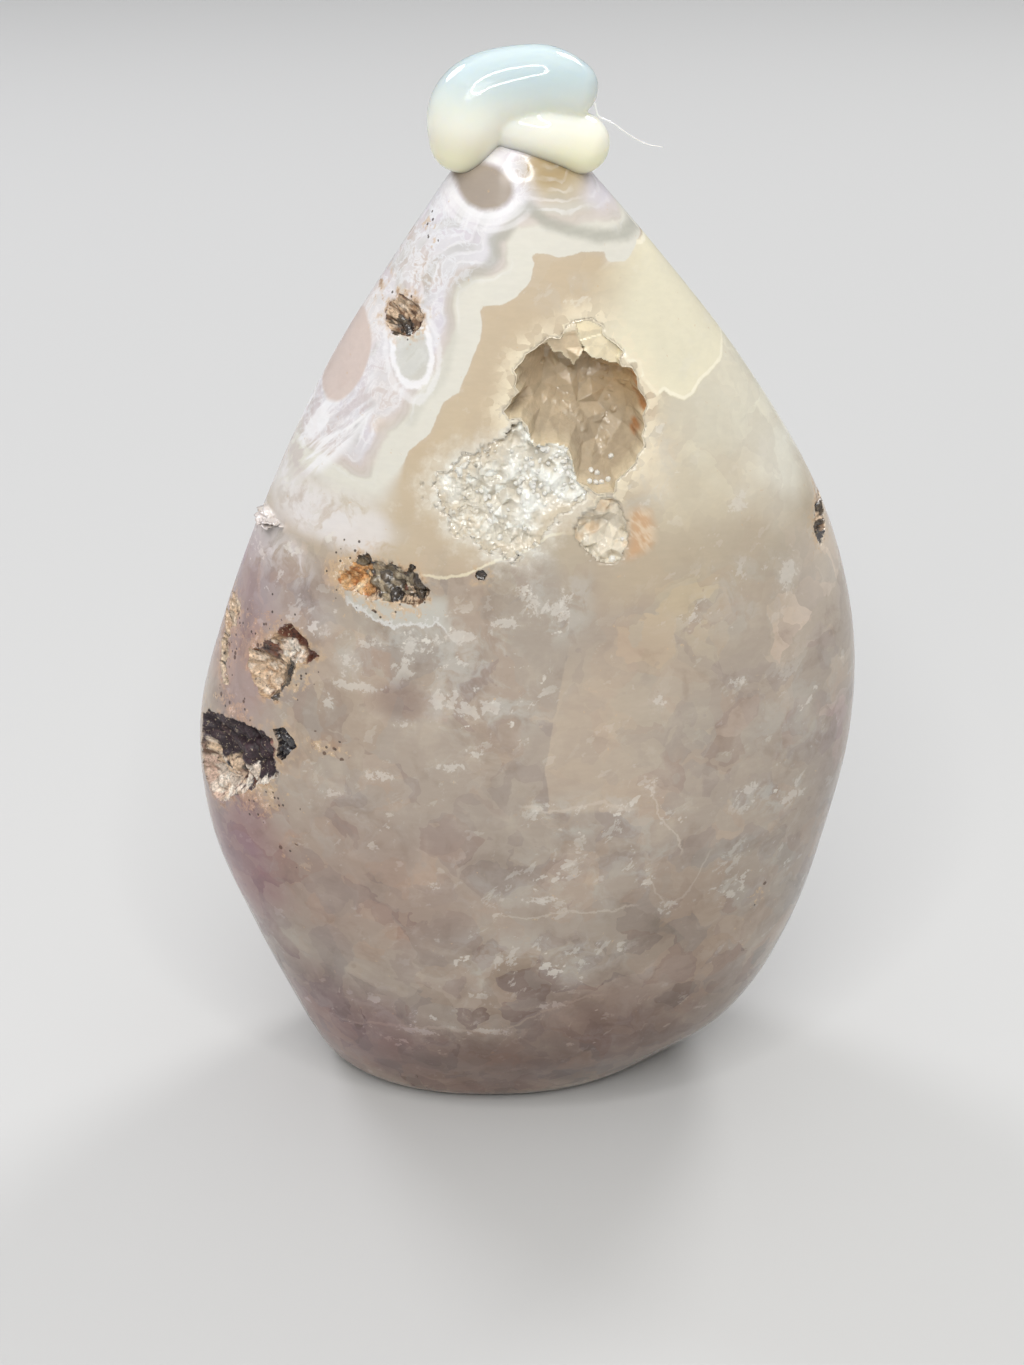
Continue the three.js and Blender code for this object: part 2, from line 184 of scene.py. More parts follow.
def cloud(points, size, seed, octaves=3):
    """Smooth noise from -1 to 1 over points in mm, with features of the given size."""
    table = np.random.default_rng(seed).uniform(-1, 1, (NOISE_CELLS,) * 3)
    total = np.zeros(len(points))
    weight, gain = 0.0, 1.0
    place = np.asarray(points, dtype=float) / size + seed * 0.37
    for _ in range(octaves):
        cell = np.floor(place).astype(int)
        t = place - cell
        t = t * t * (3 - 2 * t)
        value = np.zeros(len(points))
        for corner in range(8):
            step = np.array([corner & 1, corner >> 1 & 1, corner >> 2 & 1])
            share = np.prod(np.where(step, t, 1 - t), axis=1)
            i, j, k = ((cell + step) % NOISE_CELLS).T
            value += share * table[i, j, k]
        total += value * gain
        weight += gain
        gain *= 0.5
        place = place * 2.03 + 5.1
    return total / weight


def smoothstep(low, high, value):
    t = np.clip((value - low) / (high - low), 0, 1)
    return t * t * (3 - 2 * t)


def line_distance(x, z, line):
    """Distance in mm from each x, z to an open line of points."""
    best = np.full(len(x), 1e9)
    for (ax, az), (bx, bz) in zip(line[:-1], line[1:]):
        dx, dz = bx - ax, bz - az
        t = np.clip(((x - ax) * dx + (z - az) * dz) / (dx * dx + dz * dz), 0, 1)
        best = np.minimum(best, np.hypot(x - ax - t * dx, z - az - t * dz))
    return best


def outline_distance(x, z, outline):
    """Distance in mm to a closed outline, negative inside it."""
    closed = list(outline) + [outline[0]]
    inside = np.zeros(len(x), dtype=bool)
    for (ax, az), (bx, bz) in zip(closed[:-1], closed[1:]):
        if az == bz:
            continue
        crosses = (az > z) != (bz > z)
        inside ^= crosses & (x < ax + (bx - ax) * (z - az) / (bz - az))
    distance = line_distance(x, z, closed)
    return np.where(inside, -distance, distance)


# camera, lights and floor, in metres
CAMERA_PLACE = (-0.0014, -0.18286, 0.15020)
CAMERA_PITCH_DEG = 61
CAMERA_LENS = 50.11
SENSOR_WIDTH = 36
NEAREST_SEEN = 0.01
WORLD_COLOUR = (0.97, 0.98, 1.0, 1)
WORLD_STRENGTH = 0.285
WHITE_LIGHT = (1.0, 1.0, 1.0)
# name, place, target, size, watts and colour
LIGHTS = [
    ("overhead", (0, 0.1, 2.0), (0, 0, 0), 3.4, 19.5, WHITE_LIGHT),
    ("key", (-0.45, -1.2, 1.0), (0, 0, 0.07), 0.7, 3.6, (1.0, 0.98, 0.95)),
    ("edge", (0.42, 0.60, 0.70), (0, 0, 0.08), 0.30, 3.2, WHITE_LIGHT),
    ("edge_left", (-0.50, 0.50, 0.60), (0, 0, 0.07), 0.30, 2.4, (0.96, 0.96, 1.0)),
]
RING_CENTRE = (-0.005, -0.21, 0.33)
RING_TARGET = (0, 0, 0.1)
RING_RADIUS = 0.095
RING_WIDTH = 0.02
RING_PANELS = 12
RING_POWER = 0.75
RING_COLOUR = (1.0, 0.99, 0.97)
FLOOR_HALF = 3.0
FLOOR_COLOUR = (0.55, 0.55, 0.545, 1)
FLOOR_ROUGHNESS = 0.8


def add_camera():
    data = bpy.data.cameras.new("camera")
    data.lens = CAMERA_LENS
    data.sensor_width = SENSOR_WIDTH
    data.clip_start = NEAREST_SEEN
    camera = bpy.data.objects.new("camera", data)
    camera.location = CAMERA_PLACE
    camera.rotation_euler = (math.radians(CAMERA_PITCH_DEG), 0, 0)
    bpy.context.collection.objects.link(camera)
    bpy.context.scene.camera = camera


def add_area_light(name, place, target, size, power, colour):
    data = bpy.data.lights.new(name, "AREA")
    if isinstance(size, tuple):
        data.shape = "RECTANGLE"
        data.size, data.size_y = size
    else:
        data.shape = "DISK"
        data.size = size
    data.energy = power
    data.color = colour
    light = bpy.data.objects.new(name, data)
    light.location = place
    light.rotation_euler = (Vector(target) - Vector(place)).to_track_quat("-Z", "Y").to_euler()
    bpy.context.collection.objects.link(light)
    return light


def add_ring_lamp():
    """A round lamp over the camera, made of flat panels that face the stone."""
    size = (TAU * RING_RADIUS / RING_PANELS, RING_WIDTH)
    centre = Vector(RING_CENTRE)
    facing = (Vector(RING_TARGET) - centre).to_track_quat("-Z", "Y")
    for index in range(RING_PANELS):
        angle = TAU * index / RING_PANELS
        place = centre + facing @ Vector((RING_RADIUS * math.cos(angle), RING_RADIUS * math.sin(angle), 0))
        power = RING_POWER / RING_PANELS
        panel = add_area_light(f"ring_{index}", place, RING_TARGET, size, power, RING_COLOUR)
        panel.rotation_mode = "QUATERNION"
        panel.rotation_quaternion = facing @ Quaternion((0, 0, 1), angle + math.pi / 2)


def add_studio():
    world = bpy.data.worlds.new("studio")
    bpy.context.scene.world = world
    world.use_nodes = True
    background = world.node_tree.nodes["Background"]
    background.inputs["Color"].default_value = WORLD_COLOUR
    background.inputs["Strength"].default_value = WORLD_STRENGTH
    bpy.context.scene.view_settings.view_transform = "Standard"
    for row in LIGHTS:
        add_area_light(*row)
    add_ring_lamp()


def add_floor():
    low, high = -FLOOR_HALF, FLOOR_HALF
    mesh = bpy.data.meshes.new("studio_floor")
    mesh.from_pydata([(low, low, 0), (high, low, 0), (high, high, 0), (low, high, 0)], [], [(0, 1, 2, 3)])
    floor = bpy.data.objects.new("studio_floor", mesh)
    bpy.context.collection.objects.link(floor)
    material = bpy.data.materials.new("studio_floor")
    material.use_nodes = True
    shader = material.node_tree.nodes["Principled BSDF"]
    shader.inputs["Base Color"].default_value = FLOOR_COLOUR
    shader.inputs["Roughness"].default_value = FLOOR_ROUGHNESS
    mesh.materials.append(material)


# colours
def srgb(red, green, blue):
    """A linear colour from screen values of 0 to 255."""
    value = np.array([red, green, blue]) / 255
    return np.where(value <= 0.04045, value / 12.92, ((value + 0.055) / 1.055) ** 2.4)


# shader building
class Shader:
    """Adds nodes to one material and links them by name."""

    def __init__(self, name):
        self.material = bpy.data.materials.new(name)
        self.material.use_nodes = True
        self.tree = self.material.node_tree
        self.surface = self.tree.nodes["Principled BSDF"]
        self.masks = {}

    def node(self, kind, settings=None, **inputs):
        made = self.tree.nodes.new(kind)
        for key, value in (settings or {}).items():
            setattr(made, key, value)
        for key, value in inputs.items():
            self.feed(made, key.replace("_", " "), value)
        return made

    def feed(self, node, socket, value):
        target = node.inputs[socket]
        if isinstance(value, bpy.types.NodeSocket):
            self.tree.links.new(value, target)
        elif hasattr(value, "__len__") and len(value) == 3 and target.type == "RGBA":
            target.default_value = (*value, 1)
        else:
            target.default_value = value

    def set_surface(self, **values):
        for key, value in values.items():
            self.feed(self.surface, key.replace("_", " "), value)

    def layer(self, name, output="Color"):
        """What the mesh carries under a name."""
        return self.node("ShaderNodeAttribute", {"attribute_name": name}).outputs[output]

    def mask(self, name):
        """A number that the mesh carries, from one node however often it is asked for."""
        if name not in self.masks:
            self.masks[name] = self.layer(name, "Fac")
        return self.masks[name]

    def place(self):
        return self.node("ShaderNodeTexCoord").outputs["Object"]

    def math(self, operation, first, second=0.0, clamp=False):
        made = self.node("ShaderNodeMath", {"operation": operation, "use_clamp": clamp})
        self.feed(made, 0, first)
        self.feed(made, 1, second)
        return made.outputs[0]

    def times(self, first, *others):
        for other in others:
            first = self.math("MULTIPLY", first, other)
        return first

    def plus(self, first, *others):
        for other in others:
            first = self.math("ADD", first, other)
        return first

    def minus(self, first, second):
        return self.math("SUBTRACT", first, second)

    def centred(self, value, gain):
        """A 0 to 1 value turned into one around 0."""
        return self.times(self.minus(value, 0.5), gain)

    def span(self, value, low, high, start=0.0, end=1.0):
        """A smooth step from start to end, as the value goes from low to high."""
        made = self.node("ShaderNodeMapRange", {"interpolation_type": "SMOOTHSTEP"})
        for socket, number in zip(("Value", "From Min", "From Max", "To Min", "To Max"),
                                  (value, low, high, start, end)):
            self.feed(made, socket, number)
        return made.outputs["Result"]

    def mix(self, share, first, second, blend="MIX"):
        made = self.node("ShaderNodeMix", {"data_type": "RGBA", "blend_type": blend})
        self.feed(made, 0, share)
        for index, value in ((6, first), (7, second)):
            self.feed(made, index, value)
        return made.outputs[2]

    def lay(self, colour, tint, *shares):
        """Lays a tint over a colour, by the product of its shares."""
        return self.mix(self.times(*shares), colour, tint)

    def lay_line(self, colour, away, width, share, strength, tint):
        """Lays a line of a tint where the distance is near 0."""
        line = self.span(self.math("ABSOLUTE", away), width, width * 0.25)
        return self.lay(colour, tint, line, share, strength)

    def shaded(self, colour, value):
        """The colour made darker or brighter by a value."""
        grey = self.node("ShaderNodeCombineColor", Red=value, Green=value, Blue=value).outputs[0]
        return self.mix(1.0, colour, grey, "MULTIPLY")

    def noise(self, vector, size, detail=4.0, roughness=0.5, distortion=0.0):
        """Noise with features of the given size in mm."""
        made = self.node("ShaderNodeTexNoise", Vector=vector, Scale=1 / (size * MM), Detail=detail,
                         Roughness=roughness, Distortion=distortion)
        return made.outputs["Fac"]

    def cells(self, vector, size, detail=0.0):
        """Cells of the given size in mm: the distance to a cell's middle, and its three tones."""
        made = self.node("ShaderNodeTexVoronoi", Vector=vector, Scale=1 / (size * MM), Detail=detail)
        split = self.node("ShaderNodeSeparateColor", Color=made.outputs["Color"])
        return made.outputs["Distance"], split.outputs

    def warped(self, vector, size, reach):
        """The vector moved about by noise of a size in mm, by up to a reach in mm."""
        drift = self.node("ShaderNodeTexNoise", Vector=vector, Scale=1 / (size * MM), Detail=3.0)
        moved = self.node("ShaderNodeVectorMath", {"operation": "MULTIPLY_ADD"})
        for socket, value in enumerate((drift.outputs["Color"], (reach * MM,) * 3, vector)):
            self.feed(moved, socket, value)
        return moved.outputs[0]

    def stretched(self, vector, scale, turn=(0, 0, 0)):
        """Coordinates turned, then scaled: a small scale draws a texture out along that axis."""
        made = self.node("ShaderNodeMapping", {"vector_type": "TEXTURE"}, Vector=vector,
                         Scale=[1 / part for part in scale], Rotation=turn)
        return made.outputs["Vector"]

    def bump(self, height, strength, distance):
        """Roughens the surface by a height, over a distance in mm."""
        made = self.node("ShaderNodeBump", Strength=strength, Distance=distance * MM, Height=height)
        self.set_surface(Normal=made.outputs["Normal"])


# Outlines on the front, as x and z
POCKET = [
    (4.6, 92.8), (3.9, 92.5), (3.2, 91.4), (2.1, 91.5), (1.1, 90.7), (0.0, 90.1), (-0.5, 89.2),
    (-1.2, 88.5), (-0.9, 87.9), (-1.1, 87.1), (-0.7, 86.6), (-1.4, 86.0), (-1.6, 85.5), (-2.2, 84.8),
    (-1.7, 84.1), (-0.6, 84.2), (0.1, 83.5), (0.4, 82.2), (1.3, 81.6), (2.7, 81.8), (3.9, 81.5),
    (4.5, 80.3), (4.8, 78.3), (5.9, 77.9), (6.9, 77.1), (8.4, 77.2), (8.6, 78.3), (9.6, 79.0),
    (10.5, 79.8), (10.7, 80.5), (11.4, 81.3), (11.1, 82.2), (11.4, 83.1), (11.1, 84.1), (11.6, 85.0),
    (11.2, 85.8), (10.6, 86.6), (10.6, 87.6), (10.1, 88.4), (9.1, 88.6), (8.8, 89.2), (9.2, 89.9),
    (8.1, 90.9), (7.2, 91.6), (7.2, 92.3), (6.0, 93.0), (5.3, 92.9),
]
PLATE_LEFT = [
    (1.1, 90.7), (2.1, 91.5), (3.2, 91.4), (3.9, 92.5), (4.6, 92.8), (5.1, 91.0), (5.5, 90.0),
    (4.8, 88.9), (4.5, 88.1), (4.1, 88.9), (3.7, 89.2), (3.2, 89.8), (2.5, 89.8), (1.9, 90.8),
]
PLATE_TOP = [(4.6, 92.8), (5.3, 92.9), (6.0, 93.0), (7.2, 92.3), (7.2, 91.6), (6.0, 91.3), (5.1, 91.0)]
PLATE_RIGHT = [
    (5.1, 91.0), (6.0, 91.3), (7.2, 91.6), (8.1, 90.9), (9.2, 89.9), (8.8, 89.2), (9.1, 88.6),
    (7.9, 88.6), (7.1, 89.1), (6.2, 89.3), (5.5, 90.0),
]
PLATE_AREA = [(0.6, 90.4), (4.6, 93.4), (8.0, 93.0), (9.8, 89.6), (7.8, 88.2), (4.5, 87.6)]
ICY = [
    (-9.4, 77.6), (-8.4, 79.1), (-6.9, 79.9), (-5.0, 80.7), (-3.5, 81.5), (-2.1, 82.3), (-1.3, 83.6),
    (-0.6, 83.9), (0.1, 83.3), (0.4, 82.2), (1.3, 81.6), (2.7, 81.8), (3.9, 81.5), (4.5, 80.3),
    (4.8, 78.3), (5.9, 77.4), (5.8, 76.5), (4.3, 75.8), (2.2, 74.8), (1.8, 73.8), (1.3, 72.9),
    (0.4, 72.0), (-1.4, 71.3), (-3.1, 71.6), (-4.5, 72.2), (-6.0, 73.1), (-7.4, 74.5), (-8.6, 75.8),
]
ICY_BRIGHT = [
    (1.8, 80.8), (2.8, 81.7), (4.0, 81.4), (4.7, 79.4), (4.9, 77.7), (5.9, 77.3), (5.8, 76.5),
    (4.3, 75.8), (2.2, 74.8), (1.3, 75.5), (0.1, 75.5), (-0.8, 76.6), (-1.1, 78.5), (-0.6, 80.2),
    (0.3, 80.8),
]
CHUNK = [
    (4.8, 72.8), (4.7, 73.8), (5.1, 74.7), (5.8, 75.5), (6.5, 75.7), (7.1, 76.5), (8.3, 76.7),
    (9.1, 76.0), (9.7, 74.6), (9.9, 73.1), (9.8, 71.9), (9.3, 70.9), (8.2, 70.4), (6.8, 70.7),
    (6.0, 71.6), (5.2, 72.1),
]
ORANGE_PIECE = [
    (9.7, 75.3), (11.0, 75.9), (12.2, 75.3), (12.6, 73.9), (12.8, 72.4), (11.9, 71.4), (10.6, 70.7),
    (9.6, 70.7), (9.8, 71.9), (9.9, 73.1),
]
VUG_HIGH = [
    (-13.6, 93.2), (-12.3, 94.2), (-10.6, 94.1), (-9.6, 92.9), (-10.3, 91.6), (-11.4, 90.6),
    (-12.8, 90.5), (-13.7, 91.6),
]
VUG_MIDDLE = [
    (-17.3, 69.2), (-16.7, 70.2), (-15.8, 70.4), (-15.2, 69.7), (-13.9, 69.8), (-12.9, 69.7),
    (-12.0, 69.4), (-11.2, 69.7), (-10.4, 69.0), (-10.3, 68.2), (-9.5, 67.6), (-9.7, 66.8),
    (-10.3, 66.1), (-11.1, 65.8), (-11.9, 66.3), (-12.5, 65.9), (-13.5, 65.8), (-14.5, 66.0),
    (-15.5, 65.9), (-16.7, 66.4), (-18.1, 66.5), (-19.1, 67.4), (-18.0, 68.5),
]
VUG_ARCH = [
    (-28.7, 57.4), (-27.3, 58.4), (-26.3, 59.6), (-25.1, 60.8), (-24.2, 61.7), (-23.4, 61.4),
    (-22.5, 60.8), (-21.9, 60.0), (-20.8, 59.1), (-22.1, 58.3), (-23.2, 57.6), (-23.9, 56.4),
    (-24.9, 54.7), (-25.6, 53.4), (-27.2, 53.2), (-28.5, 54.4), (-29.0, 55.8),
]
VUG_LOW = [
    (-35.2, 46.5), (-34.2, 48.3), (-31.3, 49.2), (-29.5, 49.7), (-27.5, 49.7), (-26.4, 49.3),
    (-25.9, 48.1), (-26.2, 46.4), (-25.9, 45.3), (-26.6, 44.3), (-28.3, 43.2), (-29.8, 41.5),
    (-31.6, 40.2), (-32.8, 38.4), (-33.9, 38.1), (-34.6, 39.1), (-35.3, 40.1), (-35.6, 42.0),
    (-35.4, 45.0),
]
VUG_LOBES = [
    (-26.3, 50.3), (-25.0, 50.8), (-24.1, 50.0), (-23.7, 49.2), (-24.4, 48.4), (-25.3, 47.1),
    (-26.0, 47.5), (-25.6, 49.0),
]
VUG_RIGHT = [(29.6, 71.6), (30.6, 72.4), (31.0, 70.4), (31.1, 68.6), (30.4, 67.8), (29.5, 69.4)]
CHIPS = [
    (-30.8, 60.9), (-29.9, 60.6), (-30.3, 59.0), (-31.2, 57.6), (-31.3, 55.4), (-31.7, 54.0),
    (-31.4, 52.4), (-32.2, 52.0), (-32.6, 54.4), (-32.3, 56.6), (-31.8, 58.8),
]
SEED_BEAD = [(-4.9, 69.7), (-4.2, 69.9), (-3.8, 69.4), (-4.1, 68.8), (-4.7, 68.8), (-5.1, 69.2)]

PATCH_STEP = 0.13
OUTSIDE = -0.7
STAND_OUT = 1.4
RIM_SLOPE = 7.0
WALL_POWER = 2.4
RAGGED_SIZES = (1.2, 0.42)
# least and most slope of a pyramid's sides, in parts of its height over its radius
SIDE_SLOPES = (0.9, 2.3)
NEAR = 0.3
TINY = 1e-6
LEAST_TURN = 1e-9
# points in front of this y belong to the front
MIDDLE_Y = 2


class Paint:
    """A linear colour on each point, laid on in layers."""

    def __init__(self, count):
        self.colour = np.zeros((count, 3))

    def lay(self, mask, colour):
        share = np.clip(mask, 0, 1)[:, None]
        self.colour = self.colour * (1 - share) + np.asarray(colour) * share


class Patch:
    """A rectangle on the front where the surface lies behind the polish, as depths on a grid."""

    def __init__(self, x_range, z_range, leaning=False):
        self.xs = np.arange(x_range[0], x_range[1] + PATCH_STEP / 2, PATCH_STEP)
        self.zs = np.arange(z_range[0], z_range[1] + PATCH_STEP / 2, PATCH_STEP)
        self.shape = (len(self.zs), len(self.xs))
        x, z = np.meshgrid(self.xs, self.zs)
        self.x, self.z = x.ravel(), z.ravel()
        self.flat = np.column_stack([self.x, np.zeros(self.x.size), self.z])
        self.skin = skin_front(self.x, self.z)
        self.depth = np.full(self.x.size, OUTSIDE)
        self.inward = np.tile([0.0, 1.0, 0.0], (self.x.size, 1))
        if leaning:
            self.inward = inward_normals(self.x, self.z)
        self.tree = None
        self.paint = Paint(self.x.size)
        self.kind = np.zeros(self.x.size, dtype=int)

    def edge(self, outline, jagged, seed):
        """Signed distance to an outline, made ragged."""
        coarse, fine = RAGGED_SIZES
        ragged = cloud(self.flat, coarse, seed) + 0.75 * cloud(self.flat, fine, seed + 1, 3)
        return outline_distance(self.x, self.z, outline) + jagged * ragged

    def sink(self, edge, depth, width):
        """How deep a hollow is: steep at its rim, then rounded to its full depth."""
        inward = np.clip(-edge / width, 0, 1)
        return np.clip(np.minimum(depth * (1 - (1 - inward) ** WALL_POWER), -edge * RIM_SLOPE), OUTSIDE, None)

    def window(self, low_x, high_x, low_z, high_z):
        """The rows and columns of the grid in a range of x and z."""
        rows = slice(*np.searchsorted(self.zs, (low_z, high_z)))
        columns = slice(*np.searchsorted(self.xs, (low_x, high_x)))
        return rows, columns

    def heap(self, lumps, sides, chance):
        """The height over the floor of overlapping lumps, whose each is and how far from its middle.

        A lump is a part of a ball where sides is 0, and otherwise a pyramid with so many sides.
        """
        height, owner, reach = np.zeros(self.shape), np.full(self.shape, -1), np.ones(self.shape)
        for index, (cx, cz, radius, top) in enumerate(lumps):
            spot = self.window(cx - radius, cx + radius, cz - radius, cz + radius)
            dx = self.xs[spot[1]][None, :] - cx
            dz = self.zs[spot[0]][:, None] - cz
            away = np.sqrt(dx * dx + dz * dz) / radius
            if sides:
                slopes = top / radius * chance.uniform(*SIDE_SLOPES, sides)
                uneven = chance.uniform(-0.2, 0.2, sides)
                angles = chance.uniform(0, TAU) + TAU * (np.arange(sides) + uneven) / sides
                planes = [slope * (dx * math.cos(angle) + dz * math.sin(angle))
                          for slope, angle in zip(slopes, angles)]
                rise = top - np.max(planes, axis=0)
            else:
                rise = top - radius + radius * np.sqrt(np.clip(1 - away**2, 0, None))
                rise = np.where(away < 1, rise, -1)
            better = rise > height[spot]
            for grid, values in ((height, rise), (owner, index), (reach, away)):
                grid[spot] = np.where(better, values, grid[spot])
        return height.ravel(), owner.ravel(), reach.ravel()

    def facets(self, seeds, levels):
        """A sheet of flat triangles through levels given at seed points, and each node's triangle."""
        left, right, low, high = self.xs[0], self.xs[-1], self.zs[0], self.zs[-1]
        corners = [(left, low), (right, low), (right, high), (left, high)]
        flat = [Vector(seed) for seed in list(seeds) + corners]
        levels = np.concatenate([levels, np.full(len(corners), np.mean(levels))])
        places, _, triangles, sources, _, _ = delaunay_2d_cdt(flat, [], [], 0, TINY)
        at = [levels[source[0]] for source in sources]
        sheet, owner = np.full(self.shape, float(np.mean(levels))), np.full(self.shape, -1)
        for index, (a, b, c) in enumerate(triangles):
            (ax, az), (bx, bz), (cx, cz) = places[a], places[b], places[c]
            turn = (bx - ax) * (cz - az) - (cx - ax) * (bz - az)
            if abs(turn) < LEAST_TURN:
                continue
            spot = self.window(min(ax, bx, cx) - PATCH_STEP, max(ax, bx, cx) + PATCH_STEP,
                               min(az, bz, cz) - PATCH_STEP, max(az, bz, cz) + PATCH_STEP)
            dx = self.xs[spot[1]][None, :] - ax
            dz = self.zs[spot[0]][:, None] - az
            to_b = (dx * (cz - az) - dz * (cx - ax)) / turn
            to_c = (dz * (bx - ax) - dx * (bz - az)) / turn
            within = (to_b >= -TINY) & (to_c >= -TINY) & (to_b + to_c <= 1 + TINY)
            level = at[a] + to_b * (at[b] - at[a]) + to_c * (at[c] - at[a])
            sheet[spot] = np.where(within, level, sheet[spot])
            owner[spot] = np.where(within, index, owner[spot])
        return sheet.ravel(), owner.ravel()

    def level_at(self, seeds, levels):
        """The levels of the nodes nearest to some seed points."""
        seeds = np.asarray(seeds)
        nodes, _ = self.grid_nodes(np.column_stack([seeds[:, 0], np.zeros(len(seeds)), seeds[:, 1]]))
        return levels[nodes]

    def sheet(self, depth):
        """The grid's points at a depth behind the polish."""
        return np.column_stack([self.x, self.skin, self.z]) + np.asarray(depth)[:, None] * self.inward

    def solid(self, front, back):
        """A closed solid between two depths behind the polish."""
        points = np.vstack([self.sheet(front), self.sheet(back)])
        behind = self.x.size
        index = np.arange(behind).reshape(self.shape)
        quads = np.stack([index[:-1, :-1], index[:-1, 1:], index[1:, 1:], index[1:, :-1]], axis=-1)
        quads = quads.reshape(-1, 4)
        rim = np.concatenate([index[0, :-1], index[:-1, -1], index[-1, :0:-1], index[:0:-1, 0]])
        after = np.roll(rim, -1)
        sides = np.stack([rim, rim + behind, after + behind, after], axis=-1)
        faces = np.vstack([quads, quads[:, ::-1] + behind, sides])
        return points, faces.tolist()

    def finish(self):
        """Makes the points of a leaning hollow findable."""
        made = self.sheet(self.depth)
        self.low, self.high = made.min(axis=0) - NEAR, made.max(axis=0) + NEAR
        self.tree = KDTree(len(made))
        for index, point in enumerate(made):
            self.tree.insert(point, index)
        self.tree.balance()

    def nodes(self, points):
        """The node that each point was made from, and whether the point is over the patch."""
        if self.tree is None:
            return self.grid_nodes(points)
        nodes = np.zeros(len(points), dtype=int)
        over = np.all((points > self.low) & (points < self.high), axis=1)
        for index in np.flatnonzero(over):
            nodes[index] = self.tree.find(points[index])[1]
        return nodes, over

    def grid_nodes(self, points):
        """The grid node nearest to each point in x and z, and whether the point is over the patch."""
        rows, columns = self.shape
        column = np.round((points[:, 0] - self.xs[0]) / PATCH_STEP).astype(int)
        row = np.round((points[:, 2] - self.zs[0]) / PATCH_STEP).astype(int)
        over = (column >= 0) & (column < columns) & (row >= 0) & (row < rows) & (points[:, 1] < MIDDLE_Y)
        return np.clip(row, 0, rows - 1) * columns + np.clip(column, 0, columns - 1), over


def within_box(outline, count, chance):
    """Random spots in the box round an outline."""
    return chance.uniform(np.min(outline, axis=0), np.max(outline, axis=0), (count, 2))


def inside(spots, outline):
    return spots[outline_distance(spots[:, 0], spots[:, 1], outline) < 0]


def scattered(outline, count, radii, tops, chance, bias=2.0):
    """Random lumps inside an outline, many small and few large: x, z, radius and top."""
    made = []
    while len(made) < count:
        made.extend(inside(within_box(outline, count, chance), outline)[:count - len(made)])
    share = chance.uniform(0, 1, count) ** bias
    radius = radii[0] + (radii[1] - radii[0]) * share
    top = tops[0] + (tops[1] - tops[0]) * chance.uniform(0, 1, count) * (0.4 + 0.6 * share)
    return np.column_stack([np.array(made), radius, top])


def in_oval(zone, count, radii, chance, bias=2.0):
    """Random lumps in an ellipse, as scattered gives them."""
    cx, cz, hx, hz = zone
    angle = chance.uniform(0, TAU, count)
    reach = np.sqrt(chance.uniform(0, 1, count))
    share = chance.uniform(0, 1, count) ** bias
    radius = radii[0] + (radii[1] - radii[0]) * share
    top = radius * chance.uniform(0.55, 1.05, count)
    return np.column_stack([cx + hx * reach * np.cos(angle), cz + hz * reach * np.sin(angle), radius, top])


def spread(outline, count, gap, chance):
    """Random spots inside an outline, no two nearer than a gap."""
    made = []
    for spot in within_box(outline, count, chance):
        if all(math.hypot(*(spot - other)) > gap for other in made):
            made.append(spot)
    return inside(np.array(made), outline)


def facet_tone(owner, low, high, chance):
    """How bright each node is, the same for all of one facet."""
    return chance.uniform(low, high, owner.max() + 2)[owner]


# kinds of surface inside the hollows
MATT, GLOSSY, POCKET_KIND, ICY_KIND, CHUNK_KIND = range(5)
# lumps that only shape the floor under the others
FLOOR = -1
# the crystal crust: its range in x and z, and its depths and the gaps between its facets' corners
DRUSE_RANGES = ((-10.6, 13.4), (69.6, 94.0))
DRUSE_SEED = 90
POCKET_STEP = 0.7
POCKET_DEPTH = 5.0
POCKET_WIDTH = 3.6
DRUSE_SLOPE = 4
LEAST_BOWL = 1.1
LEAST_ICE = 0.035
LEAST_SUNK = 0.05
WALL_GAP, WALL_ROUGH = 1.05, 0.24
CHIP_GAP, CHIP_ROUGH = 1.1, 0.2
CREASE_GAP, CREASE_ROUGH = 0.7, 0.42
SHARD_GAP = 0.62
# share of the icy facets painted white as painted glints
PAINTED_GLINT_SHARE = 0.1
# x and z that a plate leans from, its depth there, and how much deeper it gets for each mm in x and z
PLATES = [
    (PLATE_LEFT, (3.2, 91.6), 0.3, (0.06, -0.45), srgb(222, 202, 170)),
    (PLATE_RIGHT, (7.0, 91.6), 0.2, (-0.08, -0.28), srgb(238, 225, 194)),
    (PLATE_TOP, (5.8, 93.0), 0.1, (-0.10, -0.25), srgb(236, 222, 190)),
]
POCKET_BEIGE = srgb(210, 191, 162)
POCKET_GREY = srgb(198, 184, 158)
POCKET_TAN = srgb(202, 170, 122)
PAINTED_POCKET_SHADE = srgb(180, 166, 144)
PAINTED_RIM_LIGHT = srgb(220, 204, 174)
ICE_WHITE = srgb(246, 246, 238)
ICE_CREAM = srgb(222, 215, 199)
ICE_TAN = srgb(218, 204, 180)
CHUNK_WHITE = srgb(236, 226, 206)
CHUNK_TAN = srgb(218, 190, 154)
RUST_SPOTS = [(10.3, 87.8), (10.6, 86.8), (10.6, 85.9), (11.0, 85.5), (11.3, 84.8), (10.6, 82.7),
              (10.4, 82.0)]
RUST_DARK = srgb(176, 116, 62)


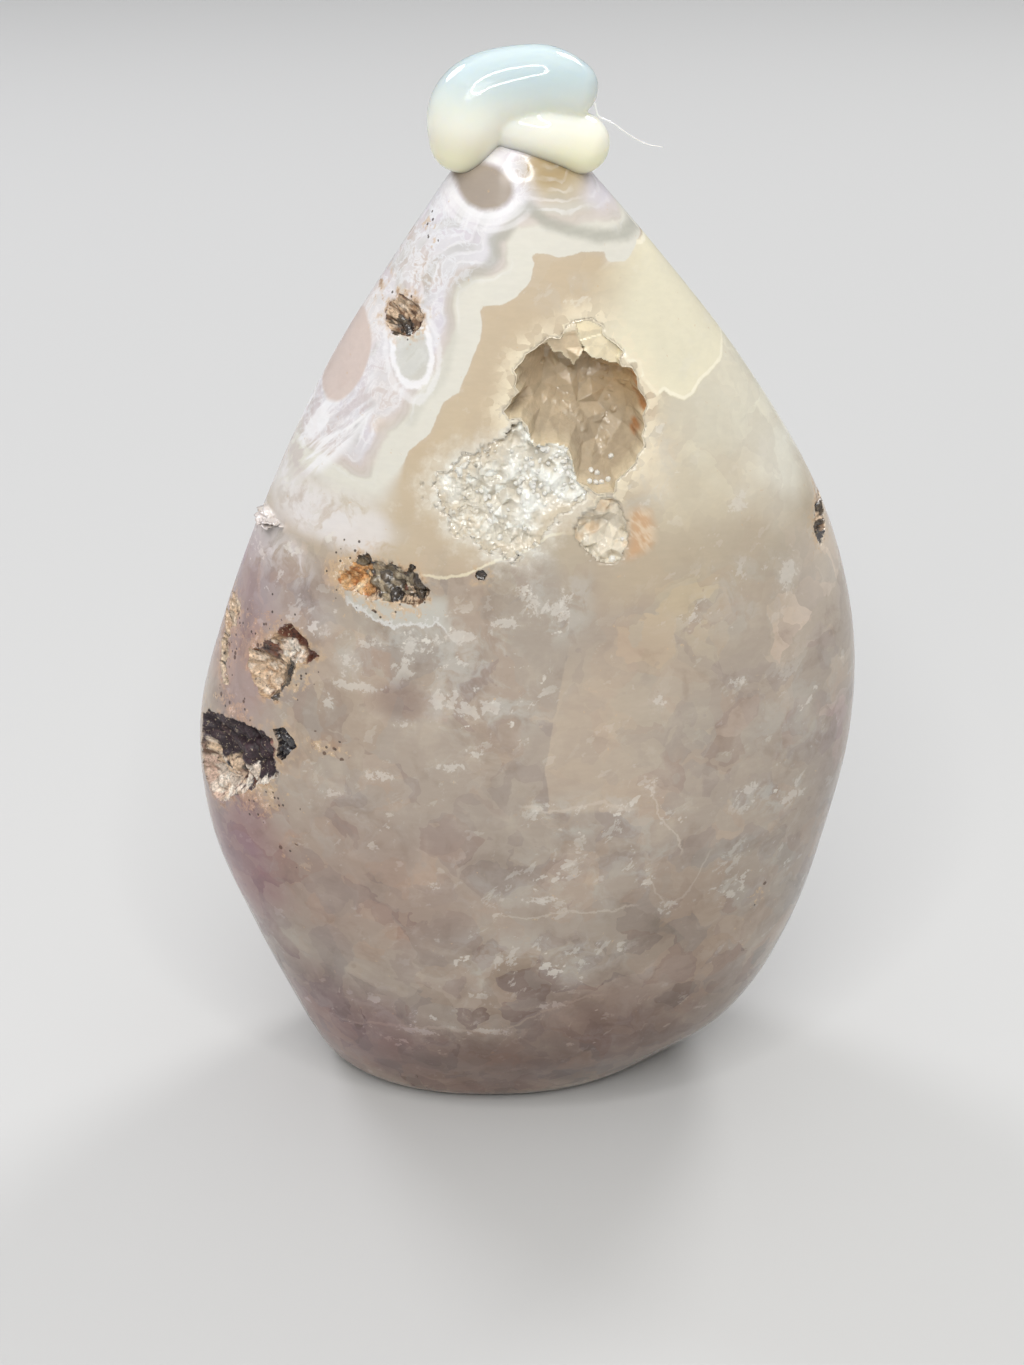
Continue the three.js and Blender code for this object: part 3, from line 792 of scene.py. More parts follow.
def add_pocket(patch, pocket, rim, chance):
    """Lines the pocket with flat walls of crystal and a few little pyramids."""
    bowl = POCKET_STEP + patch.sink(pocket, POCKET_DEPTH, POCKET_WIDTH)
    seeds = np.vstack([spread(POCKET, 1200, WALL_GAP, chance), POCKET])
    levels = patch.level_at(seeds, np.clip(bowl, LEAST_BOWL, None)) + chance.normal(0, WALL_ROUGH, len(seeds))
    walls, owner = patch.facets(seeds, levels)
    little, _, _ = patch.heap(scattered(POCKET, 60, (0.4, 1.0), (0.2, 0.7), chance), 5, chance)
    patch.depth = np.minimum(walls - little * smoothstep(0.4, 1.6, -pocket), rim)
    patch.kind[:] = POCKET_KIND
    patch.paint.lay(np.ones(patch.x.size), POCKET_BEIGE)
    patch.paint.lay(0.8 * smoothstep(0, 0.5, cloud(patch.flat, 4, 92) - 0.1 * (patch.x - 3)), POCKET_GREY)
    patch.paint.lay(0.7 * smoothstep(5, 10, patch.x + cloud(patch.flat, 2, 93)), POCKET_TAN)
    # painted shade: darker over the lower pocket, whose floor faces the lamps
    patch.paint.lay(0.85 * smoothstep(86.5, 81.5, patch.z + cloud(patch.flat, 2, 95)), PAINTED_POCKET_SHADE)
    patch.paint.colour *= facet_tone(owner, 0.88, 1.08, chance)[:, None]
    # painted light: a paler band just inside the rim, lifting the shade of the pocket's steep wall
    patch.paint.lay(0.8 * smoothstep(0.7, 0.0, -pocket), PAINTED_RIM_LIGHT)


def add_plates(patch, rim, chance):
    """Lays the leaning plates and their rust spots over the pocket."""
    seeds = spread(PLATE_AREA, 400, CHIP_GAP, chance)
    chips, owner = patch.facets(seeds, chance.normal(0, CHIP_ROUGH, len(seeds)))
    tone = facet_tone(owner, 0.86, 1.08, chance)
    for outline, (px, pz), start, (lean_x, lean_z), colour in PLATES:
        plate = patch.edge(outline, 0.03, 94)
        on_plate = plate < 0
        leaning = start + lean_x * (patch.x - px) + lean_z * (patch.z - pz) + chips
        leaning = np.clip(np.minimum(leaning, rim), OUTSIDE, None)
        patch.depth = np.where(on_plate, leaning, patch.depth)
        patch.paint.lay(on_plate, colour)
        patch.paint.colour[on_plate] *= tone[on_plate, None]
        patch.paint.lay(0.5 * on_plate * smoothstep(-0.35, -0.05, plate), CREAM_EDGE)
    spots = np.min([np.hypot(patch.x - x, patch.z - z) for x, z in RUST_SPOTS], axis=0)
    patch.paint.lay(0.85 * smoothstep(0.6, 0.15, spots + 0.3 * cloud(patch.flat, 0.6, 96)), RUST_DARK)


def add_icy_field(patch, pocket, chance):
    """Breaks the field round the pocket into low shards and grit."""
    loose = 0.4 + 1.7 * smoothstep(0.0, -6.0, patch.x) + 0.9 * smoothstep(76.0, 73.0, patch.z)
    ice = patch.edge(ICY, loose, 97)
    bright = patch.edge(ICY_BRIGHT, 0.2, 98)
    seeds = spread(ICY, 1600, SHARD_GAP, chance)
    open_edge = smoothstep(0.6, 3.0, pocket)
    inner = -ice + 3 * (1 - open_edge)
    shards, owner = patch.facets(seeds, chance.normal(0, 1, len(seeds)))
    grit, _, _ = patch.heap(scattered(ICY, 800, (0.15, 0.5), (0.08, 0.35), chance), 4, chance)
    grit *= smoothstep(0.3, 2.0, inner)
    field = 0.06 + 0.5 * smoothstep(0.0, 3.0, inner) + 0.2 * cloud(patch.flat, 2.2, 99)
    rough = 0.05 + 0.27 * smoothstep(0.5, 3.0, inner)
    field = np.clip(field + rough * shards - 0.8 * grit, LEAST_ICE, None)
    field = np.where((pocket > -0.02) & (ice < 0), np.minimum(field, -ice * DRUSE_SLOPE), OUTSIDE)
    is_icy = field > patch.depth
    patch.depth = np.maximum(patch.depth, field)
    patch.kind[is_icy] = ICY_KIND
    # painted shade: whiter on the raised shards and creamier down in the gaps between them
    height = smoothstep(0.5, -0.9, shards - 1.5 * grit)
    white = height * smoothstep(4.5, -1.0, bright + 1.5 * cloud(patch.flat, 1.4, 100))
    patch.paint.lay(is_icy, ICE_CREAM)
    patch.paint.lay(is_icy * np.maximum(white, 0.4 * height), ICE_WHITE)
    patch.paint.colour[is_icy] *= facet_tone(owner, 0.9, 1.04, chance)[is_icy, None]
    # painted highlights: a few facets painted white as glints
    painted_glint = facet_tone(owner, 0, 1, chance) > 1 - PAINTED_GLINT_SHARE
    patch.paint.lay(is_icy & painted_glint, ICE_WHITE)
    patch.paint.lay(0.8 * is_icy * smoothstep(1.8, 0.1, -ice) * open_edge, ICE_TAN)


def add_chunk(patch, chance):
    """Adds the broken chunk under the pocket."""
    chunk = patch.edge(CHUNK, 0.3, 101)
    seeds = np.vstack([spread(CHUNK, 900, CREASE_GAP, chance), CHUNK])
    creases, owner = patch.facets(seeds, chance.normal(0, CREASE_ROUGH, len(seeds)))
    block = np.maximum(0.3 + 0.6 * smoothstep(0.0, 1.2, -chunk) + creases, LEAST_SUNK)
    block = np.clip(np.minimum(block, -chunk * DRUSE_SLOPE), OUTSIDE, None)
    is_chunk = (chunk < 0) & (block > patch.depth)
    patch.depth = np.where(is_chunk, block, patch.depth)
    patch.kind[is_chunk] = CHUNK_KIND
    patch.paint.lay(is_chunk, CHUNK_WHITE)
    patch.paint.lay(0.8 * is_chunk * smoothstep(0.0, 0.4, cloud(patch.flat, 1.4, 104)), CHUNK_TAN)
    patch.paint.colour[is_chunk] *= facet_tone(owner, 0.78, 1.06, chance)[is_chunk, None]


def druse_patch():
    """The crystal crust: the pocket, the plates over it, the icy field and the broken chunk below."""
    chance = np.random.default_rng(DRUSE_SEED)
    patch = Patch(*DRUSE_RANGES)
    pocket = patch.edge(POCKET, 0.10, DRUSE_SEED + 1)
    rim = np.clip(-pocket * DRUSE_SLOPE, OUTSIDE, None)
    add_pocket(patch, pocket, rim, chance)
    add_plates(patch, rim, chance)
    add_icy_field(patch, pocket, chance)
    add_chunk(patch, chance)
    return patch


# the colours that the lumps of a hollow are picked from, middle first
BLACKS = [srgb(96, 84, 70), srgb(70, 62, 56), srgb(126, 112, 90), srgb(50, 44, 44)]
BROWNS = [srgb(104, 64, 44), srgb(84, 52, 38), srgb(136, 92, 62), srgb(70, 48, 42)]
SMOKES = [srgb(168, 152, 126), srgb(140, 126, 104), srgb(196, 180, 152), srgb(90, 78, 66)]
PURPLES = [srgb(66, 48, 54), srgb(54, 40, 46), srgb(84, 62, 64)]
TANS = [srgb(218, 190, 160), srgb(234, 214, 192), srgb(190, 156, 124), srgb(120, 92, 74)]
RUSTS = [srgb(206, 152, 96), srgb(224, 184, 136), srgb(178, 118, 70), srgb(236, 210, 172)]
CREAMS = [srgb(232, 215, 198), srgb(240, 230, 216), srgb(210, 184, 160)]
LUMP_EDGE = srgb(30, 25, 25)
SPECK_PALE = srgb(222, 202, 170)
SPECK_SMOKE = srgb(130, 116, 94)
# each hollow: rectangle, outline, depth, width of its wall, raggedness, seed, floor colour
VUGS = [
    ("high", (-14.8, -8.6), (89.6, 95.2), VUG_HIGH, 1.5, 0.9, 0.42, 110, srgb(120, 92, 70)),
    ("middle", (-20.6, -8.6), (64.8, 71.4), VUG_MIDDLE, 1.6, 1.2, 0.42, 120, srgb(110, 82, 60)),
    ("arch", (-30.0, -20.0), (52.2, 62.6), VUG_ARCH, 1.8, 1.5, 0.42, 130, srgb(176, 146, 116)),
    # the low hollow's dark purple floor colour is partly painted shade in its depth
    ("low", (-36.2, -22.8), (37.2, 51.6), VUG_LOW, 2.6, 1.9, 0.36, 140, srgb(62, 46, 52)),
    ("right", (28.8, 31.8), (67.0, 73.2), VUG_RIGHT, 0.9, 0.7, 0.2, 150, srgb(150, 120, 92)),
    ("chips", (-33.2, -29.4), (51.2, 61.6), CHIPS, 0.5, 0.5, 0.6, 160, srgb(206, 186, 162)),
    ("seed", (-5.6, -3.4), (68.2, 70.4), SEED_BEAD, 0.6, 0.4, 0.06, 170, srgb(60, 46, 40)),
]
# hollow, middle and halves of an ellipse, colours, glossy or matt, count, radius range
HEAPS = [
    ("high", (-11.6, 92.6, 2.2, 2.2), BROWNS, FLOOR, 40, (0.3, 0.8)),
    ("high", (-11.4, 93.3, 1.8, 0.9), TANS, MATT, 110, (0.1, 0.32)),
    ("high", (-12.5, 91.5, 1.0, 0.9), BLACKS, GLOSSY, 22, (0.2, 0.6)),
    ("high", (-10.4, 92.4, 0.7, 0.9), BROWNS, GLOSSY, 18, (0.12, 0.35)),
    ("high", (-13.4, 91.8, 0.4, 1.2), TANS, MATT, 30, (0.1, 0.26)),
    ("middle", (-13.8, 68.0, 5.4, 2.4), BROWNS, FLOOR, 110, (0.3, 0.9)),
    ("middle", (-17.2, 67.7, 2.1, 1.8), RUSTS, MATT, 260, (0.1, 0.4)),
    ("middle", (-15.6, 66.2, 3.0, 0.6), TANS, MATT, 110, (0.1, 0.3)),
    ("middle", (-15.1, 69.4, 1.4, 0.8), BLACKS, GLOSSY, 16, (0.2, 0.55)),
    ("middle", (-12.9, 68.0, 3.0, 1.7), BLACKS, GLOSSY, 34, (0.3, 0.85)),
    ("middle", (-11.6, 66.6, 2.2, 0.9), TANS, MATT, 60, (0.1, 0.3)),
    ("middle", (-12.5, 68.0, 3.6, 2.0), BLACKS, GLOSSY, 50, (0.08, 0.26)),
    ("middle", (-12.9, 68.0, 3.2, 1.8), SMOKES, GLOSSY, 60, (0.3, 0.8)),
    ("middle", (-13.6, 68.4, 2.8, 1.4), BROWNS, GLOSSY, 30, (0.15, 0.5)),
    ("arch", (-24.8, 57.4, 4.4, 4.4), BROWNS, FLOOR, 60, (0.3, 0.9)),
    ("arch", (-26.9, 56.4, 2.2, 2.8), TANS, MATT, 300, (0.1, 0.4)),
    ("arch", (-24.4, 58.5, 1.5, 1.1), CREAMS, MATT, 110, (0.12, 0.45)),
    ("arch", (-27.4, 58.2, 1.3, 1.0), BROWNS, GLOSSY, 20, (0.3, 0.7)),
    ("arch", (-24.8, 55.9, 0.9, 1.7), BLACKS, GLOSSY, 26, (0.35, 0.85)),
    ("arch", (-25.6, 53.8, 0.9, 0.6), BLACKS, GLOSSY, 14, (0.25, 0.6)),
    ("arch", (-27.4, 57.0, 1.6, 2.4), BLACKS, GLOSSY, 26, (0.08, 0.24)),
    ("low", (-30.0, 44.6, 5.6, 6.0), PURPLES, FLOOR, 70, (0.5, 1.6)),
    ("low", (-29.6, 47.0, 4.2, 2.8), PURPLES, MATT, 60, (0.4, 1.2)),
    ("low", (-34.0, 46.4, 1.6, 2.4), PURPLES, MATT, 40, (0.3, 0.9)),
    ("low", (-34.6, 46.4, 0.6, 0.8), CREAMS, MATT, 22, (0.12, 0.35)),
    ("low", (-33.6, 43.0, 1.9, 1.5), TANS, MATT, 150, (0.1, 0.4)),
    ("low", (-33.2, 43.8, 2.0, 1.4), BLACKS, GLOSSY, 34, (0.1, 0.4)),
    ("low", (-33.0, 40.4, 1.8, 2.2), CREAMS, MATT, 220, (0.1, 0.42)),
    ("low", (-28.4, 43.9, 2.4, 1.0), CREAMS, MATT, 140, (0.12, 0.5)),
    ("low", (-26.6, 45.0, 0.9, 0.7), CREAMS, MATT, 40, (0.12, 0.4)),
    ("low", (-30.6, 41.8, 1.3, 1.0), CREAMS, MATT, 70, (0.1, 0.4)),
    ("low", (-31.4, 42.6, 2.8, 1.6), BROWNS, MATT, 40, (0.1, 0.3)),
    ("right", (30.4, 70.2, 0.9, 2.2), BLACKS, GLOSSY, 40, (0.12, 0.4)),
    ("right", (30.3, 71.0, 0.8, 1.4), TANS, MATT, 50, (0.1, 0.26)),
    ("chips", (-31.2, 57.4, 1.3, 4.2), TANS, MATT, 200, (0.1, 0.34)),
    ("chips", (-31.6, 55.0, 0.8, 3.0), BLACKS, GLOSSY, 40, (0.08, 0.3)),
    ("seed", (-4.5, 69.3, 0.1, 0.1), BLACKS, GLOSSY, 2, (0.45, 0.55)),
]
# hollow, middle and halves of an ellipse, colour: how the floor and walls are stained, except that the dark
# purple rows of the low hollow are partly painted shade on its deep walls
WALL_STAINS_AND_SHADE = [
    ("arch", (-23.2, 60.6, 2.6, 1.1), srgb(104, 58, 38)), ("arch", (-22.0, 59.6, 1.0, 1.3), srgb(92, 52, 38)),
    # the dark purple low rows are partly painted shade
    ("low", (-26.6, 47.4, 0.9, 1.9), srgb(150, 108, 98)), ("low", (-29.6, 47.2, 2.6, 1.8), srgb(66, 48, 54)),
    ("low", (-28.6, 45.8, 1.8, 1.2), srgb(48, 36, 40)), ("low", (-33.4, 41.4, 2.2, 3.2), srgb(198, 170, 152)),
    ("middle", (-17.4, 67.7, 2.0, 1.8), srgb(176, 118, 70)),
    ("middle", (-15.8, 68.6, 0.9, 1.2), srgb(120, 72, 44)),
    ("middle", (-12.9, 67.8, 2.8, 1.8), srgb(84, 74, 62)),
]
LOBE_MIDDLES = [(-25.3, 50.0, 0.95, 0.9), (-24.6, 49.3, 0.9, 0.95), (-25.3, 48.1, 0.7, 0.8),
                (-25.0, 49.7, 0.5, 1.25), (-24.3, 49.7, 0.4, 1.0)]
# the hollow that has lobes past its corner
LOBED = "low"
LOBE_FLOOR = 1.25
LOBE_BLACK = srgb(44, 40, 44)
# how much darker a lump's rim is, partly the nodules' own dark outlines and partly painted shade between
# lumps
RIM_DARKNESS = {MATT: 0.3, GLOSSY: 0.9}


def stain_and_shade_walls(patch, name, seed):
    for hollow, zone, colour in WALL_STAINS_AND_SHADE:
        if hollow == name:
            near = oval(patch.x, patch.z, zone[:2], zone[2:]) + 0.3 * cloud(patch.flat, 1.0, seed)
            patch.paint.lay(smoothstep(1.2, 0.8, near), colour)


def add_lobes(patch, seed, chance):
    """The round black lobes past the corner of the low hollow."""
    lobes = patch.edge(VUG_LOBES, 0.16, seed)
    rise, _, _ = patch.heap(LOBE_MIDDLES, 0, chance)
    lobed = np.minimum(LOBE_FLOOR - rise, -lobes * RIM_SLOPE)
    here = lobes < 0
    beside = ~here & (patch.depth < 0)
    patch.depth = np.where(here, np.maximum(lobed, LEAST_SUNK), patch.depth)
    patch.depth = np.where(beside, np.maximum(patch.depth, np.clip(lobed, OUTSIDE, None)), patch.depth)
    patch.paint.lay(here, LOBE_BLACK)
    patch.kind[here] = GLOSSY


def vug_patch(name, x_range, z_range, outline, depth, width, jagged, seed, floor):
    """One small hollow with its heaps of lumps and grains."""
    chance = np.random.default_rng(seed)
    patch = Patch(x_range, z_range, leaning=True)
    edge = patch.edge(outline, jagged, seed + 1)
    sunk = patch.sink(edge, depth, width) + 0.12 * cloud(patch.flat, 0.7, seed + 2) * (edge < 0)
    patch.paint.lay(np.ones(patch.x.size), floor)
    patch.kind[:] = MATT
    # wall stains, with partly painted shade in the low hollow
    stain_and_shade_walls(patch, name, seed + 3)
    height = np.zeros(patch.x.size)
    for hollow, zone, colours, kind, count, radii in HEAPS:
        if hollow != name:
            continue
        rise, owner, reach = patch.heap(in_oval(zone, count, radii, chance), 0, chance)
        if kind == FLOOR:
            sunk = np.where(edge < 0, sunk - 0.8 * rise, sunk)
            continue
        over = rise > height
        picks = np.minimum(chance.exponential(1.1, count).astype(int), len(colours) - 1)
        shades = np.array(colours)[picks] * chance.uniform(0.75, 1.15, (count, 1))
        shade = shades[np.clip(owner, 0, count - 1)]
        # darker towards each lump's rim: partly its own dark outline, partly painted shade between lumps
        dark = smoothstep(0.4, 1.0, reach)[:, None] * RIM_DARKNESS[kind]
        shade = shade * (1 - dark) + LUMP_EDGE * dark
        patch.paint.colour[over] = shade[over]
        patch.kind[over] = kind
        height = np.maximum(height, rise)
    lined = np.minimum(np.clip(sunk - height, LEAST_SUNK, None), -edge * RIM_SLOPE)
    patch.depth = np.where(edge < -0.02, lined, sunk)
    if name == LOBED:
        add_lobes(patch, seed + 5, chance)
    patch.finish()
    return patch


def new_object(name, points, faces):
    mesh = bpy.data.meshes.new(name)
    mesh.from_pydata((np.asarray(points) * MM).tolist(), [], faces)
    mesh.validate()
    made = bpy.data.objects.new(name, mesh)
    bpy.context.collection.objects.link(made)
    return made


def outward(made):
    """Turns all faces of a closed mesh outward."""
    work = bmesh.new()
    work.from_mesh(made.data)
    bmesh.ops.recalc_face_normals(work, faces=work.faces)
    work.to_mesh(made.data)
    work.free()


def new_cutter(points, faces):
    cutter = new_object("cutter", points, faces)
    outward(cutter)
    return cutter


def cut(target, cutter, operation="DIFFERENCE"):
    """Takes one closed solid out of another, or joins or intersects them, and deletes the cutter."""
    boolean = target.modifiers.new("cut", "BOOLEAN")
    boolean.operation = operation
    boolean.solver = "MANIFOLD"
    boolean.object = cutter
    applied(target)
    bpy.data.objects.remove(cutter)


def applied(made):
    """Applies every modifier of an object to its mesh."""
    graph = bpy.context.evaluated_depsgraph_get()
    mesh = bpy.data.meshes.new_from_object(made.evaluated_get(graph))
    made.modifiers.clear()
    old = made.data
    made.data = mesh
    bpy.data.meshes.remove(old)


def places_of(rows, field):
    """The places of a mesh's points or faces in mm."""
    flat = np.empty(len(rows) * 3)
    rows.foreach_get(field, flat)
    return flat.reshape(-1, 3) / MM


# Markings on the front, as x and z. The back repeats the bands, shifted, and has none of the hollows.
BAND_EDGE = [
    (45, 96), (24, 97), (14, 98.6), (10.9, 98.7), (9.4, 97.5), (7.6, 97.7), (7.3, 98.6), (5.2, 98.9),
    (3.1, 98.5), (1.7, 98.9), (0.4, 99.0), (0.7, 98.1), (0.3, 96.4), (-0.9, 95.2), (-2.4, 94.4),
    (-4.5, 94.2), (-4.2, 93.0), (-4.4, 91.3), (-5.1, 89.6), (-5.9, 87.8), (-6.5, 86.3), (-8.0, 85.3),
    (-8.8, 83.5), (-9.3, 82.2), (-11.4, 80.6), (-12.1, 78.8), (-13.1, 76.7), (-13.8, 75.3),
    (-15.9, 74.9), (-18.6, 75.2), (-20.9, 75.9), (-23.2, 75.8), (-25.8, 72.4), (-45, 71),
]
BAND_FAR = [(-45, 130), (45, 130)]
HOLLOWS = (VUG_HIGH, VUG_MIDDLE, VUG_ARCH, VUG_LOW, VUG_LOBES, VUG_RIGHT, CHIPS, SEED_BEAD)
GREY_LINE = [
    (14, 99.3), (9.4, 99.7), (6.9, 100.0), (4.7, 100.7), (2.0, 101.5), (0.2, 103.0), (-0.9, 102.4),
    (-2.0, 100.7), (-3.1, 100.1), (-2.9, 98.6), (-3.7, 97.6), (-5.1, 96.9), (-7.4, 94.8), (-7.4, 93.2),
    (-7.1, 91.1), (-7.7, 88.9), (-8.3, 87.2), (-10.2, 85.3), (-11.1, 83.2),
]
PLATE_EDGE = [
    (-45, 69.5), (-27.6, 69.1), (-25.1, 70.0), (-22.6, 69.0), (-19.0, 68.8), (-14.4, 68.7),
    (-10.4, 68.7), (-8.0, 68.7), (-5.6, 69.2), (-3.5, 70.4), (-1.3, 71.1), (0.6, 71.9), (1.8, 72.9),
    (3.3, 73.3),
]
CREAM_PLATE = [
    (6.0, 97.0), (10.0, 99.0), (16.0, 97.5), (45, 100), (45, 89), (21.5, 88.6), (19.6, 88.0),
    (19.3, 87.5), (18.2, 86.8), (17.0, 86.2), (16.2, 85.2), (15.3, 84.9), (13.9, 85.5), (13.2, 86.1),
    (12.6, 85.6), (12.1, 86.1), (11.4, 86.8), (10.9, 87.5), (10.6, 88.8), (9.6, 89.0), (9.1, 89.9),
    (6.0, 90.6), (4.6, 92.4),
]
RIGHT_CRACK = [(12.9, 47.6), (13.5, 44.0), (14.4, 42.4), (15.7, 40.7), (16.3, 38.7)]
VEE = [(12.8, 36.0), (13.9, 33.5), (15.1, 31.3), (17.6, 33.4), (19.4, 38.0)]
LOW_CRACK = [(-2.7, 31.7), (0.5, 31.0), (3.7, 32.0), (7.9, 31.7), (11.6, 32.3)]
NOTCH_LINE = [(0.4, 45.3), (2.0, 44.6), (3.5, 44.6), (5.0, 45.0), (6.6, 45.3), (8.1, 45.4),
              (9.1, 45.0), (10.5, 44.4)]
FRINGE = [(-18.1, 65.4), (-16.1, 64.2), (-13.9, 63.6), (-11.7, 63.6), (-8.7, 64.4), (-7.6, 63.0)]
STEP_LINE = [(4.8, 67.0), (4.5, 65.0), (4.1, 62.0), (3.4, 58.0), (2.6, 53.7), (1.9, 49.4), (2.3, 46.0)]
FOOT_LINE = [(-21.1, 11.5), (-16.7, 13.8), (-8.3, 14.8), (-3.0, 14.6), (2.3, 18.0), (6.4, 19.9)]
FAN_TURN = 0.85
EYE = (-3.9, 104.5)
EYE_HALF = (2.7, 2.0)
MAUVE_OVAL = (-17.8, 87.2)
MAUVE_OVAL_HALF = (1.9, 4.4)
MAUVE_OVAL_TURN = 0.5
LACE_OVAL = (-11.0, 89.4)
LACE_OVAL_HALF = (1.9, 2.9)

# height, then the colour of the quartz there, darker towards the foot: partly the quartz's own colour, partly
# painted shade
BODY_COLOURS = [
    (0, srgb(84, 60, 48)), (4, srgb(92, 74, 65)), (10, srgb(98, 82, 74)), (18, srgb(128, 110, 99)),
    (32, srgb(157, 137, 121)), (46, srgb(166, 148, 132)), (60, srgb(174, 157, 140)),
    (70, srgb(188, 174, 152)), (82, srgb(201, 186, 159)), (96, srgb(206, 190, 162)),
    (110, srgb(204, 190, 166)),
]
# x, z, half width, half height, colour, strength. The pale cream rows at the upper right and down the right
# edge are partly painted light, a glow where light comes through the stone
CLOUDS = [
    (18, 79, 9, 9, srgb(218, 207, 182), 0.8),
    (26, 84, 7, 13, srgb(244, 243, 230), 0.95),
    (22, 96, 10, 8, srgb(226, 218, 194), 0.8),
    (22, 64, 10, 9, srgb(196, 182, 158), 0.8), (13, 68, 8, 6, srgb(198, 182, 154), 0.7),
    (12, 56, 9, 10, srgb(183, 162, 139), 0.7),
    (24, 44, 9, 9, srgb(176, 158, 139), 0.5),
    (-4, 60, 9, 7, srgb(178, 169, 157), 0.6),
    (-16, 50, 8, 8, srgb(150, 134, 123), 0.7), (-12.6, 56.0, 3.6, 2.2, srgb(138, 122, 112), 0.75),
    (0.8, 62.2, 2.4, 3.4, srgb(158, 140, 126), 0.7), (7.4, 21.0, 3.2, 1.8, srgb(122, 102, 94), 0.6),
    (-27, 63, 4, 6, srgb(176, 158, 168), 0.8), (-22.6, 65, 2.6, 2.6, srgb(176, 160, 154), 0.6),
    (-14, 72.5, 5, 2.0, srgb(196, 184, 164), 0.6), (21, 85, 9, 9, srgb(232, 228, 208), 0.85),
    (1.5, 69.4, 2.2, 2.8, srgb(174, 168, 158), 0.7), (12.6, 79.4, 2.6, 3.8, srgb(228, 216, 192), 0.85),
    (-9.4, 101.0, 0.8, 2.6, srgb(160, 140, 122), 0.7),
    (-23.5, 73, 6, 2.8, srgb(226, 219, 218), 0.9), (-24.0, 69.2, 1.9, 0.8, srgb(232, 224, 228), 0.95),
    (-22.0, 68.2, 1.9, 0.7, srgb(224, 214, 218), 0.8), (-20.2, 67.0, 1.8, 0.7, srgb(212, 200, 202), 0.6),
    (1.0, 45.1, 0.9, 0.6, srgb(226, 220, 206), 0.8),
    (9.1, 45.0, 0.8, 0.5, srgb(230, 226, 212), 0.9),
    (-28, 64, 6, 5, srgb(188, 168, 168), 0.8),
    (-25, 28, 9, 10, srgb(150, 124, 121), 0.7),
    (-31, 34, 4, 9, srgb(168, 142, 150), 0.8),
    (12, 24, 10, 8, srgb(146, 130, 114), 0.5),
    (-12, 30, 10, 7, srgb(158, 134, 118), 0.6),
    (-10, 18, 12, 6, srgb(134, 112, 100), 0.5),
    (31, 57, 6, 14, srgb(246, 232, 214), 0.95),
    (33, 46, 2.5, 8, srgb(186, 166, 178), 0.7),
    (-20, 72.5, 6, 3, srgb(210, 200, 190), 0.7),
]
# x, z, half width, half height and how much of red, green and blue is left there, at most half. The rows
# round the foot darken it, partly as painted shade
TONES_AND_FOOT_SHADE = [
    (-30, 58, 5, 15, (0.90, 0.80, 0.89)), (-24, 64, 5, 5, (0.95, 0.91, 0.95)),
    (-12.6, 56.2, 3.4, 2.4, (0.72, 0.68, 0.70)), (9, 18, 13, 7, (0.86, 0.80, 0.79)),
    (-21, 11, 13, 10, (0.72, 0.57, 0.62)), (-6, 7, 14, 9, (0.62, 0.51, 0.49)),
    (9, 12, 15, 10, (0.64, 0.56, 0.55)),
    (19, 14, 8, 9, (0.84, 0.82, 0.80)), (17, 30, 9, 8, (0.82, 0.80, 0.78)),
    (-31, 32, 6, 11, (0.84, 0.64, 0.74)), (-18, 34, 15, 12, (0.93, 0.86, 0.85)),
]
TIP_TAN = srgb(178, 157, 120)
# the same inside the bands
BAND_CLOUDS = [
    (3.2, 105.4, 3.6, 3.2, srgb(203, 188, 158), 0.9), (-12, 97, 4, 3, srgb(206, 196, 190), 0.8),
    (-9.5, 96.5, 2.0, 1.6, srgb(200, 182, 168), 0.7),
    (-16, 92, 3, 4, srgb(222, 214, 208), 0.8), (-13.5, 85.0, 3, 4, srgb(214, 203, 196), 0.8),
    (-19.5, 80, 4, 3, srgb(206, 194, 190), 0.8), (-16.5, 77.5, 4, 2, srgb(198, 184, 176), 0.7),
    (-24, 75, 3, 3, srgb(204, 192, 196), 0.8), (-10.8, 88.5, 1.5, 2.5, srgb(200, 198, 188), 0.7),
    (-6.5, 97.3, 2.5, 1.6, srgb(204, 202, 200), 0.7), (-14.3, 82.4, 1.0, 1.0, srgb(226, 204, 178), 0.6),
    (2.2, 106.2, 3.4, 2.0, TIP_TAN, 0.95), (3.5, 102.2, 4, 1.2, srgb(208, 204, 190), 0.8),
    (6.0, 99.5, 4, 1.0, srgb(186, 184, 172), 0.5),
]
# x, z, half width, half height, strength of the rusty clouds
RUST_CLOUDS = [
    (-17.7, 67.6, 3.4, 2.6, 0.75), (-16.5, 71.4, 3.4, 1.4, 0.35), (-14.5, 65.9, 4.4, 1.1, 0.35),
    (-26.4, 57.6, 3.4, 4.2, 0.35), (-29.9, 42.2, 4.2, 2.6, 0.35), (-31.2, 60.0, 1.3, 3.2, 0.4),
    (25.6, 29.6, 1.2, 1.6, 0.6), (11.8, 84.6, 1.0, 2.4, 0.3), (-25.0, 37.6, 2.4, 1.6, 0.35),
    (6.7, 35.9, 1.3, 1.0, 0.5), (21.2, 65.2, 1.3, 0.6, 0.35), (15.6, 50.0, 0.8, 1.6, 0.5),
    (7.8, 57.8, 1.8, 1.6, 0.3), (15.6, 42.8, 0.6, 0.9, 0.4), (-11.6, 92.4, 2.4, 2.2, 0.4),
    (-20.8, 50.2, 2.6, 1.2, 0.3),
    (-5.6, 69.4, 1.4, 0.8, 0.5), (2.6, 58.5, 2.2, 2.6, 0.18), (18.0, 46.0, 1.6, 1.2, 0.2),
    (-23, 34.5, 5, 3, 0.2), (-10, 81.5, 2.4, 3, 0.14),
]
FAN = [(-27.5, 73.0), (-24.0, 78.5), (-19.5, 84.5), (-15.0, 86.5), (-15.5, 83.0), (-19.0, 78.5),
       (-23.5, 74.6)]
FOLDS = [
    (-13.6, 98.2), (-10.6, 102.6), (-5.0, 101.6), (-4.2, 98.6), (-5.6, 96.2), (-9.0, 94.6), (-12.6, 95.2),
]
